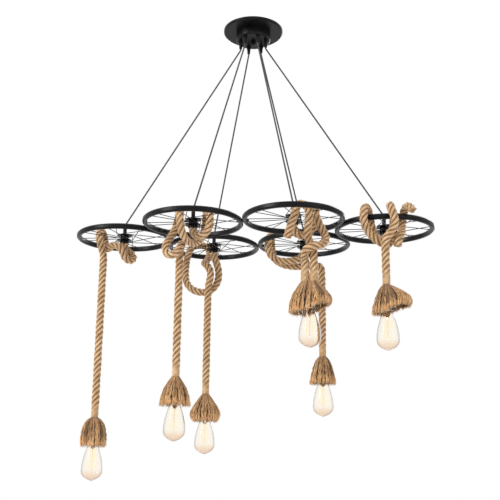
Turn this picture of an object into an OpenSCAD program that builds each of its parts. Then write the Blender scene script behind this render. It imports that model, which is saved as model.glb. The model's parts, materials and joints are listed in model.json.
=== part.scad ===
// Wheel-cluster chandelier: six small spoked wheels hang level on six cables from one round
// canopy. From each wheel hangs a thick knotted rope that ends in a frayed tassel with a lamp.
// Millimetres, +Z up. The origin is the centre of the canopy's face on the ceiling, so all
// of the chandelier lies below z = 0. The row of wheels runs along X.

/* [Wheels] */
// Outer diameter of a wheel
wheel_d = 300; // [290:1:320]
// Free gap between two neighbouring rims
wheel_gap = 0.6; // [0.3:0.1:0.9]
// Height of a rim
rim_h = 16; // [14:0.5:20]
// Width of a rim, from inside to outside
rim_w = 14; // [12:0.5:16]
// Bevel on the four edges of a rim
rim_bevel = 4; // [2:0.5:5]
// Thickness of a spoke
spoke_d = 2.2; // [1.6:0.1:2.6]
// Pairs of crossing spokes in a wheel
spoke_pairs = 8; // [7:1:9]
// Half angle between the two ends of a pair at the rim
spoke_spread = 6.75; // [6:0.25:7.5]
// Gap between a spoke's end and the rim or the flange
spoke_clear = 0.15; // [0.1:0.05:0.3]

/* [Hubs] */
// Diameter of a hub's flanges
flange_d = 46; // [40:1:48]
// Thickness of a flange
flange_t = 3; // [2:0.5:4]
// Distance between the middles of the two flanges
flange_span = 16; // [12:1:18]
// Diameter of the hub's barrel
barrel_d = 26; // [20:1:30]
// Diameter of the stem on top of a hub
stem_d = 12; // [11:0.5:14]
// Height of the stem above the upper flange
stem_h = 28; // [20:1:34]
// Diameter of the rope cup under a hub
cup_d = 28; // [27:0.5:32]
// Height of the rope cup under the lower flange
cup_h = 9; // [6:0.5:10]

/* [Ceiling canopy] */
// Height from the ceiling down to the wheels' middle plane
drop_h = 700; // [690:5:720]
// Diameter of the canopy's flat flange
canopy_d = 195; // [170:1:220]
// Height of the flange's edge
canopy_edge = 9; // [7:0.5:12]
// Diameter of the raised middle
dome_d = 113; // [110:1:118]
// Depth of the raised middle below the ceiling
dome_h = 38; // [34:1:44]
// Wall of the canopy's sheet metal
canopy_wall = 1.5; // [1:0.1:2]
// Distance between the two ceiling screw holes
ceiling_pitch = 70; // [60:1:74]
// Diameter of a ceiling screw hole
ceiling_hole_d = 5; // [4:0.5:6]
// Thickness of the ceiling bracket
bracket_t = 2; // [1.5:0.5:3]
// Width of the ceiling bracket
bracket_w = 24; // [20:1:28]
// Diameter of the threaded stud in the middle
stud_d = 8; // [6:1:10]

/* [Suspension cables] */
// Diameter of a suspension cable
cable_d = 5; // [4:0.5:6]
// Diameter of the ring on which the cord grips stand
grip_pitch_d = 84; // [80:1:86]
// Diameter of a cord grip at its root
grip_d = 14; // [12:0.5:16]
// Length of a cord grip below the canopy
grip_h = 24; // [20:1:28]

/* [Ropes] */
// Diameter of the thick rope
rope_d = 24; // [22:0.5:24]
// Middle to middle distance where two ropes hang side by side
rope_pair = 25; // [24.5:0.1:26]
// Gap between two rope ends that turn against each other
swing_clear = 0.3; // [0.2:0.1:0.5]

/* [Tassels and lamps] */
// Height of a tassel
tassel_h = 84; // [80:1:90]
// Diameter of the lamp holder
holder_d = 40; // [36:1:42]
// Height of the lamp holder
holder_h = 50; // [46:1:54]
// Diameter of a bulb's screw cap
cap_d = 26.4; // [26:0.1:27]
// Height of a bulb's screw cap
cap_h = 27; // [25:1:28]
// Largest diameter of a bulb
bulb_d = 64; // [58:1:66]
// Height of a bulb, cap included
bulb_h = 140; // [132:1:150]
// Wall of a bulb's glass
glass_wall = 1; // [0.8:0.1:1.4]

/* [Hidden] */
$fn = 64;

// Wheels are numbered 1 to 6: 1 left end, 2 front left, 3 back left, 4 front right,
// 5 back right, 6 right end. Every rim touches its neighbours' rims but for wheel_gap.
wheel_pitch = wheel_d + wheel_gap;
end_x = (1 + sqrt(3)) * wheel_pitch / 2;
hub_xy = [
    [-end_x, 0],
    [-wheel_pitch / 2, -wheel_pitch / 2],
    [-wheel_pitch / 2, wheel_pitch / 2],
    [wheel_pitch / 2, -wheel_pitch / 2],
    [wheel_pitch / 2, wheel_pitch / 2],
    [end_x, 0]
];
// Neighbours that are bolted together, as pairs of places in hub_xy
joined = [[0, 1], [0, 2], [1, 2], [1, 3], [2, 4], [3, 4], [3, 5], [4, 5]];
// Angle of each wheel's cord grip round the canopy
grip_angle = [180, 240, 120, 300, 60, 0];

rim_inner_r = wheel_d / 2 - rim_w;
flange_top = flange_span / 2 + flange_t / 2;
cup_bottom = -flange_top - cup_h;
stem_top = flange_top + stem_h;

// Bolts that join two rims
bolt_d = 5;
bolt_hole_d = 5.4;
bolt_head_d = 8;
bolt_head_h = 4;
nut_d = 9;
nut_h = 4;
seat_clear = 0.12;
thread_clear = 0.2;

// Sloping foot of a hub's stem, and taper at its top: each one's width and height
stem_foot = 2;
stem_foot_h = 4;
stem_taper = 1;
stem_taper_h = 2;

// Nuts on the canopy's stud
cap_nut_h = 8;
stud_nut_h = 5;
// How much wider the nuts and the cap nut's round end are than the stud
stud_nut_wider = 6;
cap_nut_wider = 9;
cap_ball_wider = 5;

// Cable route inside its grip and its stem
cable_clear = 0.3;
cable_bend = 5;
bend_bulge = 0.2;
grip_tip_d = 9;
grip_hex_h = 6;
shank_d = 10;
shank_top = 10;
locknut_d = 14;
// Rounding of the canopy's raised middle, and bevel of its flange, both on the outside
dome_round = 6.5;
flange_bevel = 3;
// How much wider the canopy's holes are than the stud and the grips' shanks
stud_play = 0.6;
shank_play = 0.4;
// How far a cut runs past its piece, and a bolt past its nut
cut_over = 2;
bolt_over = 1;
locknut_h = 4;
cable_top = 16;
cable_in_hub = flange_top;

// Rope routes. Each point is [x, y, z] from the middle of the wheel's hub. The rope runs
// smoothly near its points, and through the first and the last one. A route starts right
// under the hub's rope cup and ends where the rope hangs free. A tail's ends are cut ends.
rope_r = rope_d / 2;
rope_sides = 8;
span_steps = 2;
gap_steps = 6;
route_1 = [
    [0, 0, cup_bottom], [0, 0, -30], [8, 8, -42], [24, 14, -52], [32, 8, -68],
    [24, -8, -80], [10, -22, -70], [4, -28, -46], [-12, -28, -30], [-33, -20, -26],
    [-53, 0, -34], [-69, 22, -28], [-75, 31, -4], [-77, 20, 18], [-78, 0, 27],
    [-77, -20, 17], [-75, -30, -8], [-67, -22, -36], [-62, -14, -58], [-62, -14, -80]
];
route_2 = [
    [0, 0, cup_bottom], [0, 0, -30], [12, -6, -46], [38, -16, -46], [57, -24, -24], [58, -28, 6],
    [54, -16, 28], [40, 6, 36], [30, 36, 32], [24, 62, 4], [18, 54, -34], [2, 22, -64],
    [-14, -20, -64], [-24, -56, -38], [-24, -64, 4], [-32, -34, 36], [-46, 6, 34],
    [-56, 31, 8], [-66, 18, -34], [-80, -2, -62], [-81, -12, -90], [-62, -16, -107],
    [-41, -10, -92], [-34, 6, -66], [-38, 28, -54], [-48, 42, -68], [-48, 40, -94],
    [-48, 40, -116]
];
route_3 = [
    [0, 0, cup_bottom], [0, 0, -30], [10, 0, -52], [20, 2, -84], [16, 4, -120], [-5, 4, -148],
    [-36, 4, -154], [-74, 6, -142], [-98, 16, -112], [-102, 30, -66], [-102, 44, -26],
    [-94, 48, 12], [-66, 56, 28], [-34, 66, 20], [-24, 64, -14], [-34, 36, -42], [-34, 4, -52],
    [-18, -22, -64], [-3, -29, -84], [-2, -28, -106], [-10, -24, -130], [-12, -20, -150],
    [-12, -20, -172]
];
route_4 = [
    [0, 0, cup_bottom], [0, 0, -30], [8, 8, -46], [30, 20, -50], [54, 26, -30], [60, 26, 0],
    [62, 16, 26], [64, -3, 32], [66, -22, 24], [68, -30, -4], [80, -24, -34], [99, -18, -62],
    [92, -36, -92], [62, -66, -100], [36, -58, -110], [36, -30, -124], [36, -30, -140]
];
route_4_tail = [
    [-10, -66, -74], [-2, -74, -44], [14, -82, -14], [17, -88, 12], [33, -89, 20],
    [50, -84, 11], [55, -79, -12], [50, -68, -38], [43, -46, -64], [52, -24, -86],
    [62, -29, -110], [61, -30, -124], [61, -30, -140]
];
route_5 = [
    [0, 0, cup_bottom], [0, 0, -30], [-6, -4, -44], [-24, -12, -56], [-50, -20, -60],
    [-84, -24, -60], [-110, -32, -38], [-114, -42, -6], [-112, -24, 24], [-110, 2, 34],
    [-111, 28, 23], [-112, 41, -6], [-102, 30, -42], [-70, 10, -64], [-34, 10, -72],
    [4, 6, -72], [38, 0, -68], [56, -6, -78], [58, -8, -96], [58, -8, -116]
];
route_6 = [
    [0, 0, cup_bottom], [0, 0, -30], [-6, -14, -46], [-16, -46, -48], [-28, -82, -44],
    [-36, -108, -28], [-39, -111, 3], [-45, -122, 34], [-54, -150, 31], [-58, -161, 0],
    [-56, -156, -28], [-42, -150, -52], [-20, -144, -74], [6, -132, -84], [24, -116, -70],
    [28, -111, -40], [28, -111, 2], [22, -124, 34], [17, -154, 33], [26, -171, 4],
    [34, -169, -28], [22, -168, -52], [6, -166, -66], [2, -162, -84], [2, -160, -104],
    [2, -160, -120]
];
route_6_tail = [
    [82, -156, 12], [75, -145, 26], [64, -121, 38], [54, -103, 10], [52, -104, -24],
    [50, -124, -46], [44, -144, -62], [38, -152, -78], [37, -153, -92]
];
// Every rope of each wheel
routes = [
    [route_1], [route_2], [route_3], [route_4, route_4_tail], [route_5], [route_6, route_6_tail]
];

// Each pendant: height of the bulb's tip below the ceiling, and the tassel's skirt diameter
tip_z = [-1450, -1336, -1369, -1082, -1253, -1090];
skirt_d = [86, 94, 102, 120, 86, 118];

// Tassel and lamp, measured from the top of the bulb's cap
tassel_up = 46;
holder_up = 22;
holder_wall = 3;
nipple_d = 10;
neck_clear = 0.3;
tassel_wall = 7;
cap_clear = 0.4;
cap_wall = 1;
stem_glass_d = 12;
filament_d = 2;
filament_gap = 14;
filament_h = 46;

function last(v) = v[len(v) - 1];
function route_end(k) = last(routes[k][0]);
function pendant_x(k) = hub_xy[k].x + (k == 3 ? route_end(k).x + rope_pair / 2 : route_end(k).x);
function pendant_y(k) = hub_xy[k].y + route_end(k).y;
function pivot_lift(k) = k == 3 ? rope_pair : rope_r;
function pivot_z(k) = -drop_h + route_end(k).z - pivot_lift(k) - swing_clear;
function cap_top(k) = tip_z[k] + bulb_h;

function unit(v) = v / norm(v);
function spline_at(a, b, c, d, t) =
    (pow(1 - t, 3) * a + (3 * t * t * t - 6 * t * t + 4) * b
    + (3 * t * t + 3 * t + 1 - 3 * t * t * t) * c + t * t * t * d) / 6;
function smooth_route(p, steps) =
    let (n = len(p), q = concat([2 * p[0] - p[1]], p, [2 * p[n - 1] - p[n - 2]]))
        concat(
            [for (i = [1 : n - 1]) for (s = [0 : steps - 1])
                spline_at(q[i - 1], q[i], q[i + 1], q[i + 2], s / steps)],
            [last(p)]);
function tangents(p, route) =
    let (m = len(p) - 1, n = len(route) - 1)
        [for (i = [0 : m])
            i == 0 ? unit(route[1] - route[0])
            : i == m ? unit(route[n] - route[n - 1])
            : unit(p[i + 1] - p[i - 1])];
function side_of(n, t) = unit(n - (n * t) * t);
function sides_along(t) = [
    for (i = 0, n = side_of([0.31, 0.95, 0.05], t[0]); i < len(t);
        i = i + 1, n = i < len(t) ? side_of(n, t[i]) : n) n];
function lengths_along(p) = [
    for (i = 0, s = 0; i < len(p);
        s = s + (i + 1 < len(p) ? norm(p[i + 1] - p[i]) : 0), i = i + 1) s];
// Least gap between the skins of two stretches of a rope, more than a tight half turn apart
function least_gap(p) =
    let (along = lengths_along(p), m = len(p) - 1)
        min([for (i = [0 : m]) for (j = [i + 1 : 1 : m])
            if (along[j] - along[i] > 1.6 * rope_d) norm(p[j] - p[i])]) - rope_d;

// A rope laid along a route: rings of corners joined by triangles
module rope_tube(route) {
    p = smooth_route(route, span_steps);
    t = tangents(p, route);
    n = sides_along(t);
    turn = 360 / rope_sides;
    pts = [for (i = [0 : len(p) - 1]) for (k = [0 : rope_sides - 1])
        p[i] + rope_r * (cos(turn * k) * n[i] + sin(turn * k) * cross(t[i], n[i]))];
    m = len(p) - 1;
    skin = [for (i = [0 : m - 1]) for (k = [0 : rope_sides - 1])
        let (a = i * rope_sides + k, b = i * rope_sides + (k + 1) % rope_sides)
            each [[a, a + rope_sides, b + rope_sides], [a, b + rope_sides, b]]];
    first_end = [for (k = [1 : rope_sides - 2]) [0, k, k + 1]];
    last_end = [for (k = [1 : rope_sides - 2])
        [m * rope_sides, m * rope_sides + k + 1, m * rope_sides + k]];
    polyhedron(points = pts, faces = concat(skin, first_end, last_end), convexity = 8);
}

// A rod between two points, rolled so that the seams of rods in one plane stay apart
module rod(a, b, d) {
    v = b - a;
    roll = 40;
    translate(a)
        rotate([0, acos(v.z / norm(v)), atan2(v.y, v.x)])
            rotate(roll)
                cylinder(h = norm(v), d = d);
}

// Ceiling canopy

module ceiling_bracket() {
    color("silver")
        difference() {
            translate([-ceiling_pitch / 2 - bracket_w / 2, -bracket_w / 2, -bracket_t])
                cube([ceiling_pitch + bracket_w, bracket_w, bracket_t]);
            for (s = [-1, 1])
                translate([s * ceiling_pitch / 2, 0, -bracket_t - cut_over])
                    cylinder(h = bracket_t + 2 * cut_over, d = ceiling_hole_d);
            translate([0, 0, -bracket_t - cut_over])
                cylinder(h = bracket_t + 2 * cut_over, d = stud_d + thread_clear);
        }
}

module centre_stud() {
    color("silver") {
        translate([0, 0, -dome_h - cap_nut_h])
            cylinder(h = dome_h + cap_nut_h - bracket_t / 4, d = stud_d);
        translate([0, 0, -bracket_t - seat_clear - stud_nut_h])
            cylinder(h = stud_nut_h, d = stud_d + stud_nut_wider, $fn = 6);
    }
}

module centre_nut() {
    nut_z = -dome_h - seat_clear - cap_nut_h;
    color("black")
        difference() {
            union() {
                translate([0, 0, nut_z])
                    cylinder(h = cap_nut_h, d = stud_d + cap_nut_wider, $fn = 6);
                translate([0, 0, nut_z])
                    sphere(d = stud_d + cap_ball_wider);
            }
            translate([0, 0, nut_z - cut_over])
                cylinder(h = cap_nut_h + 2 * cut_over, d = stud_d + thread_clear);
        }
}

module canopy_cover() {
    outer_r = canopy_d / 2;
    dome_r = dome_d / 2;
    w = canopy_wall;
    edge = canopy_edge;
    b = flange_bevel;
    inner_b = flange_bevel + (sqrt(2) - 1) * w;
    middle = [dome_r - dome_round, dome_round - dome_h];
    outer_arc = [for (a = [0 : 15 : 90]) middle + dome_round * [cos(a), -sin(a)]];
    inner_arc = [for (a = [90 : -15 : 0]) middle + (dome_round - w) * [cos(a), -sin(a)]];
    color("black")
        difference() {
            rotate_extrude($fn = 128)
                polygon(concat(
                    [[outer_r - w, 0], [outer_r, 0], [outer_r, b - edge], [outer_r - b, -edge]],
                    [[dome_r, -edge]], outer_arc, [[0, -dome_h], [0, w - dome_h]], inner_arc,
                    [[dome_r - w, w - edge], [outer_r - inner_b, w - edge], [outer_r - w, inner_b - edge]]
                ));
            translate([0, 0, -dome_h - cut_over])
                cylinder(h = canopy_wall + 2 * cut_over, d = stud_d + stud_play);
            for (a = grip_angle)
                rotate(a)
                    translate([grip_pitch_d / 2, 0, -dome_h - cut_over])
                        cylinder(h = canopy_wall + 2 * cut_over, d = shank_d + shank_play);
        }
}

module terminal_block() {
    block_x = stud_d / 2 + 10;
    block_w = 14;
    block_l = 44;
    block_h = 14;
    poles = 3;
    color("white")
        difference() {
            translate([block_x, -block_l / 2, -bracket_t - seat_clear - block_h])
                cube([block_w, block_l, block_h]);
            for (i = [0 : poles - 1])
                translate([
                    block_x + block_w / 2,
                    (i - (poles - 1) / 2) * block_l / poles,
                    -bracket_t - seat_clear - block_h - 1
                ])
                    cylinder(h = 7, d = 5);
        }
}

// Places a child at every cord grip
module at_grips() {
    for (a = grip_angle)
        rotate(a)
            translate([grip_pitch_d / 2, 0, -dome_h])
                children();
}

module cord_grips() {
    bore = cable_d + 2 * cable_clear;
    color("black")
        at_grips()
            difference() {
                union() {
                    translate([0, 0, -seat_clear - grip_hex_h])
                        cylinder(h = grip_hex_h, d = grip_d, $fn = 6);
                    translate([0, 0, -grip_h])
                        cylinder(h = grip_h - grip_hex_h, d1 = grip_tip_d, d2 = grip_d - 2);
                    translate([0, 0, -cut_over])
                        cylinder(h = shank_top + cut_over, d = shank_d);
                }
                translate([0, 0, -grip_h - cut_over])
                    cylinder(h = grip_h + shank_top + 2 * cut_over, d = bore);
            }
}

module grip_locknuts() {
    color("silver")
        at_grips()
            translate([0, 0, canopy_wall + seat_clear])
                difference() {
                    cylinder(h = locknut_h, d = locknut_d, $fn = 6);
                    translate([0, 0, -cut_over])
                        cylinder(h = locknut_h + 2 * cut_over, d = shank_d + thread_clear);
                }
}

// Suspension cables

module suspension_cable(k) {
    a = grip_angle[k];
    upper = [
        grip_pitch_d / 2 * cos(a), grip_pitch_d / 2 * sin(a), -dome_h - grip_h - cable_bend
    ];
    lower = [hub_xy[k].x, hub_xy[k].y, stem_top + cable_bend - drop_h];
    color("dimgray") {
        rod([upper.x, upper.y, -cable_top], upper, cable_d);
        translate(upper)
            sphere(d = cable_d + bend_bulge);
        rod(upper, lower, cable_d);
        translate(lower)
            sphere(d = cable_d + bend_bulge);
        rod(lower, [lower.x, lower.y, cable_in_hub - drop_h], cable_d);
    }
}
module suspension_cable_1() { suspension_cable(0); }
module suspension_cable_2() { suspension_cable(1); }
module suspension_cable_3() { suspension_cable(2); }
module suspension_cable_4() { suspension_cable(3); }
module suspension_cable_5() { suspension_cable(4); }
module suspension_cable_6() { suspension_cable(5); }

// Wheels

// Moves a child to the middle of wheel k
module at_wheel(k) {
    translate([hub_xy[k].x, hub_xy[k].y, -drop_h])
        children();
}

module rim(k) {
    r = wheel_d / 2;
    h = rim_h / 2;
    b = rim_bevel;
    color("black")
        difference() {
            at_wheel(k)
                rotate_extrude($fn = 128)
                    polygon([
                        [r - b, -h], [r, b - h], [r, h - b], [r - b, h],
                        [rim_inner_r + b, h], [rim_inner_r, h - b],
                        [rim_inner_r, b - h], [rim_inner_r + b, -h]
                    ]);
            for (j = joined)
                if (j[0] == k || j[1] == k)
                    bolt_frame(j)
                        rod([-rim_w - cut_over, 0, 0], [rim_w + cut_over, 0, 0], bolt_hole_d);
        }
}
module rim_1() { rim(0); }
module rim_2() { rim(1); }
module rim_3() { rim(2); }
module rim_4() { rim(3); }
module rim_5() { rim(4); }
module rim_6() { rim(5); }

// Frame midway between two neighbouring hubs, with X from the first to the second
module bolt_frame(j) {
    a = hub_xy[j[0]];
    b = hub_xy[j[1]];
    translate([(a.x + b.x) / 2, (a.y + b.y) / 2, -drop_h])
        rotate(atan2(b.y - a.y, b.x - a.x))
            children();
}

module rim_bolts() {
    inside = rim_w + wheel_gap / 2 + seat_clear;
    color("dimgray")
        for (j = joined)
            bolt_frame(j) {
                rod([-inside - bolt_head_h, 0, 0], [-inside, 0, 0], bolt_head_d);
                rod([-inside, 0, 0], [inside + nut_h + bolt_over, 0, 0], bolt_d);
            }
}

module rim_nuts() {
    inside = rim_w + wheel_gap / 2 + seat_clear;
    color("dimgray")
        for (j = joined)
            bolt_frame(j)
                translate([inside, 0, 0])
                    rotate([0, 90, 0])
                        difference() {
                            cylinder(h = nut_h, d = nut_d, $fn = 6);
                            translate([0, 0, -cut_over])
                                cylinder(h = nut_h + 2 * cut_over, d = bolt_d + thread_clear);
                        }
}

module hubs() {
    bore_r = cable_d / 2 + cable_clear;
    under = flange_top - flange_t;
    color("black")
        for (k = [0 : 5])
            at_wheel(k)
                rotate_extrude()
                    polygon([
                        [bore_r, cup_bottom], [cup_d / 2, cup_bottom], [cup_d / 2, -flange_top],
                        [flange_d / 2, -flange_top], [flange_d / 2, -under], [barrel_d / 2, -under],
                        [barrel_d / 2, under], [flange_d / 2, under], [flange_d / 2, flange_top],
                        [stem_d / 2 + stem_foot, flange_top], [stem_d / 2, flange_top + stem_foot_h],
                        [stem_d / 2, stem_top - stem_taper_h], [stem_d / 2 - stem_taper, stem_top],
                        [bore_r, stem_top]
                    ]);
}

// Spokes cross in pairs: one starts at the upper flange, the other at the lower one
module spokes() {
    hub_turn = 65;
    start_r = flange_d / 2 + spoke_d / 2 + spoke_clear;
    tilt_room = spoke_d / 10;
    end_r = rim_inner_r - spoke_clear - tilt_room;
    color("black")
        for (k = [0 : 5])
            at_wheel(k)
                for (i = [0 : spoke_pairs - 1])
                    for (s = [-1, 1]) {
                        a = 360 * i / spoke_pairs;
                        from = a - s * hub_turn;
                        to = a + s * spoke_spread;
                        rod(
                            [start_r * cos(from), start_r * sin(from), s * flange_span / 2],
                            [end_r * cos(to), end_r * sin(to), 0],
                            spoke_d
                        );
                    }
}

// Ropes

module rope_knot(k) {
    color("burlywood")
        at_wheel(k)
            for (route = routes[k])
                rope_tube(route);
    for (route = routes[k])
        echo(rope = k + 1, least_gap = least_gap(smooth_route(route, gap_steps)));
}
module rope_knot_1() { rope_knot(0); }
module rope_knot_2() { rope_knot(1); }
module rope_knot_3() { rope_knot(2); }
module rope_knot_4() { rope_knot(3); }
module rope_knot_5() { rope_knot(4); }
module rope_knot_6() { rope_knot(5); }

// A drop's top is round about the pivot, so that it can swing under the knot's flat end
module rope_drop(k) {
    top = pivot_z(k);
    bottom = cap_top(k) + tassel_up + seat_clear;
    color("burlywood")
        translate([pendant_x(k), pendant_y(k), 0])
            if (k == 3)
                double_drop(top, bottom);
            else {
                translate([0, 0, bottom])
                    cylinder(h = top - bottom, r = rope_r);
                translate([0, 0, top])
                    sphere(r = rope_r);
            }
}

module double_drop(top, bottom) {
    reach = rope_pair;
    intersection() {
        for (s = [-1, 1])
            translate([s * rope_pair / 2, 0, bottom])
                cylinder(h = top - bottom + reach, r = rope_r);
        union() {
            translate([0, rope_d, top])
                rotate([90, 0, 0])
                    cylinder(h = 2 * rope_d, r = reach, $fn = 96);
            translate([-2 * rope_d, -rope_d, bottom - 1])
                cube([4 * rope_d, 2 * rope_d, top - bottom + 1]);
        }
    }
}
module rope_drop_1() { rope_drop(0); }
module rope_drop_2() { rope_drop(1); }
module rope_drop_3() { rope_drop(2); }
module rope_drop_4() { rope_drop(3); }
module rope_drop_5() { rope_drop(4); }
module rope_drop_6() { rope_drop(5); }

// Tassels and lamps

// Moves a child to the top of lamp k's screw cap
module at_lamp(k) {
    translate([pendant_x(k), pendant_y(k), cap_top(k)])
        children();
}

// How fast a tassel widens below its shoulder: 1 is a straight cone, less is a dome
bell_bend = 0.85;
// Radius of a tassel's outside at its shoulder, and at its neck
shoulder_r = holder_d / 2 + neck_clear + tassel_wall;
function neck_r(k) = k == 3 ? rope_pair / 2 + rope_r : rope_r + 1;

module tassel(k) {
    hem = tassel_up - tassel_h;
    mid = holder_up + 1;
    inner = holder_d / 2 + neck_clear;
    bell = [for (i = [0 : 8])
        let (t = i / 8, z = mid + (hem - mid) * t)
            [shoulder_r + (skirt_d[k] / 2 - shoulder_r) * pow(t, bell_bend), z]];
    lining = [for (i = [8 : -1 : 0]) [max(inner, bell[i].x - tassel_wall), bell[i].y]];
    neck = [
        [nipple_d / 2 + neck_clear, tassel_up], [neck_r(k), tassel_up],
        [max(neck_r(k) + 3, shoulder_r * 0.8), tassel_up - 10]
    ];
    color("tan")
        at_lamp(k)
            rotate_extrude()
                polygon(concat(neck, bell, lining, [[nipple_d / 2 + neck_clear, mid]]));
}
module tassel_1() { tassel(0); }
module tassel_2() { tassel(1); }
module tassel_3() { tassel(2); }
module tassel_4() { tassel(3); }
module tassel_5() { tassel(4); }
module tassel_6() { tassel(5); }

module lamp_holder(k) {
    bore_r = cap_d / 2 + cap_clear;
    low = holder_up - holder_h;
    color("black")
        at_lamp(k)
            rotate_extrude()
                polygon([
                    [0, cap_clear], [bore_r, cap_clear], [bore_r, low], [holder_d / 2 - 1, low],
                    [holder_d / 2, low + 1], [holder_d / 2, holder_up - holder_wall],
                    [holder_d / 2 - holder_wall, holder_up], [nipple_d / 2, holder_up],
                    [nipple_d / 2, tassel_up - seat_clear], [0, tassel_up - seat_clear]
                ]);
}
module lamp_holder_1() { lamp_holder(0); }
module lamp_holder_2() { lamp_holder(1); }
module lamp_holder_3() { lamp_holder(2); }
module lamp_holder_4() { lamp_holder(3); }
module lamp_holder_5() { lamp_holder(4); }
module lamp_holder_6() { lamp_holder(5); }

// Screw cap with the glass stem and the filament that it carries
module bulb_cap(k) {
    legs = 8;
    leg_d = 0.8;
    leg_sway = 14;
    ring_t = 1.6;
    upper_r = 6;
    lower_r = 9;
    upper_z = -cap_h - filament_gap;
    lower_z = upper_z - filament_h;
    function on_ring(r, a, z) = [r * cos(a), r * sin(a), z];
    color("gold")
        at_lamp(k) {
            rotate_extrude()
                polygon([
                    [0, 0], [5, 0], [5, -2], [9, -4], [cap_d / 2, -7], [cap_d / 2, -cap_h],
                    [cap_d / 2 - cap_wall, -cap_h], [cap_d / 2 - cap_wall, -8],
                    [stem_glass_d / 2, -8], [stem_glass_d / 2, -cap_h], [0, -cap_h]
                ]);
            translate([0, 0, lower_z])
                cylinder(h = 3 - cap_h - lower_z, d1 = filament_d, d2 = stem_glass_d - 1);
            translate([0, 0, upper_z - ring_t / 2])
                cylinder(h = ring_t, r = upper_r + leg_d);
            translate([0, 0, lower_z - ring_t / 2])
                cylinder(h = ring_t, r = lower_r + leg_d);
            for (i = [0 : legs - 1]) {
                a = 360 * i / legs;
                rod(
                    on_ring(upper_r, a, upper_z),
                    on_ring(lower_r, a + (i % 2 == 0 ? leg_sway : -leg_sway), lower_z),
                    leg_d
                );
            }
        }
}
module bulb_cap_1() { bulb_cap(0); }
module bulb_cap_2() { bulb_cap(1); }
module bulb_cap_3() { bulb_cap(2); }
module bulb_cap_4() { bulb_cap(3); }
module bulb_cap_5() { bulb_cap(4); }
module bulb_cap_6() { bulb_cap(5); }

// Straight neck of the glass under its cap, and thickness of the glass at its drawn tip
glass_neck_h = 2;
tip_wall = 3;
// Hole in the glass round its stem: how much wider it is than the stem
stem_play = 2;
// Where a bulb is widest, and down to where its foot pulls before it draws in, as shares of its height
belly_at = 0.785;
foot_at = 0.935;
// Outline of the glass, from its neck down to the drawn tip, at a distance inside the skin
module bulb_outline(inside) {
    neck_r = cap_d / 2 - inside;
    belly_r = bulb_d / 2 - inside;
    neck_z = -cap_h - seat_clear;
    flare_z = neck_z - glass_neck_h;
    belly_z = -bulb_h * belly_at;
    pull_z = -bulb_h * foot_at;
    end_z = inside == 0 ? -bulb_h : tip_wall - bulb_h;
    flare = [for (t = [0 : 0.1 : 1])
        [neck_r + (belly_r - neck_r) * sin(90 * t), flare_z + (belly_z - flare_z) * t]];
    foot = [for (t = [0.1 : 0.1 : 1])
        [belly_r * (1 - t * t), (1 - t) * (1 - t) * belly_z + 2 * t * (1 - t) * pull_z + t * t * end_z]];
    polygon(concat([[0, neck_z - inside], [neck_r, neck_z - inside]], flare, foot));
}

module bulb_glass(k) {
    color([1, 0.93, 0.78, 0.5])
        at_lamp(k)
            difference() {
                rotate_extrude()
                    bulb_outline(0);
                rotate_extrude()
                    bulb_outline(glass_wall);
                translate([0, 0, -cap_h - seat_clear - glass_wall - cut_over])
                    cylinder(h = glass_wall + 2 * cut_over, d = stem_glass_d + stem_play);
            }
}
module bulb_glass_1() { bulb_glass(0); }
module bulb_glass_2() { bulb_glass(1); }
module bulb_glass_3() { bulb_glass(2); }
module bulb_glass_4() { bulb_glass(3); }
module bulb_glass_5() { bulb_glass(4); }
module bulb_glass_6() { bulb_glass(5); }

ceiling_bracket();
centre_stud();
centre_nut();
canopy_cover();
terminal_block();
cord_grips();
grip_locknuts();
suspension_cable_1();
suspension_cable_2();
suspension_cable_3();
suspension_cable_4();
suspension_cable_5();
suspension_cable_6();
rim_1();
rim_2();
rim_3();
rim_4();
rim_5();
rim_6();
hubs();
spokes();
rim_bolts();
rim_nuts();
rope_knot_1();
rope_knot_2();
rope_knot_3();
rope_knot_4();
rope_knot_5();
rope_knot_6();
rope_drop_1();
rope_drop_2();
rope_drop_3();
rope_drop_4();
rope_drop_5();
rope_drop_6();
tassel_1();
tassel_2();
tassel_3();
tassel_4();
tassel_5();
tassel_6();
lamp_holder_1();
lamp_holder_2();
lamp_holder_3();
lamp_holder_4();
lamp_holder_5();
lamp_holder_6();
bulb_cap_1();
bulb_cap_2();
bulb_cap_3();
bulb_cap_4();
bulb_cap_5();
bulb_cap_6();
bulb_glass_1();
bulb_glass_2();
bulb_glass_3();
bulb_glass_4();
bulb_glass_5();
bulb_glass_6();
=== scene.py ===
"""Chandelier of six spoked wheels with knotted jute ropes, frayed tassels and drop-shaped bulbs.

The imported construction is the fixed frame. This script dresses it: every rope becomes one laid
jute rope that follows its route through the knot and down to its tassel, every tassel becomes a
bundle of crimped yarn, every bulb gets blown glass and a caged filament, and the metal, plastic
and cable pieces get their finishes.
"""

import json
import logging
import math
from dataclasses import dataclass, field
from enum import Enum

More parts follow.
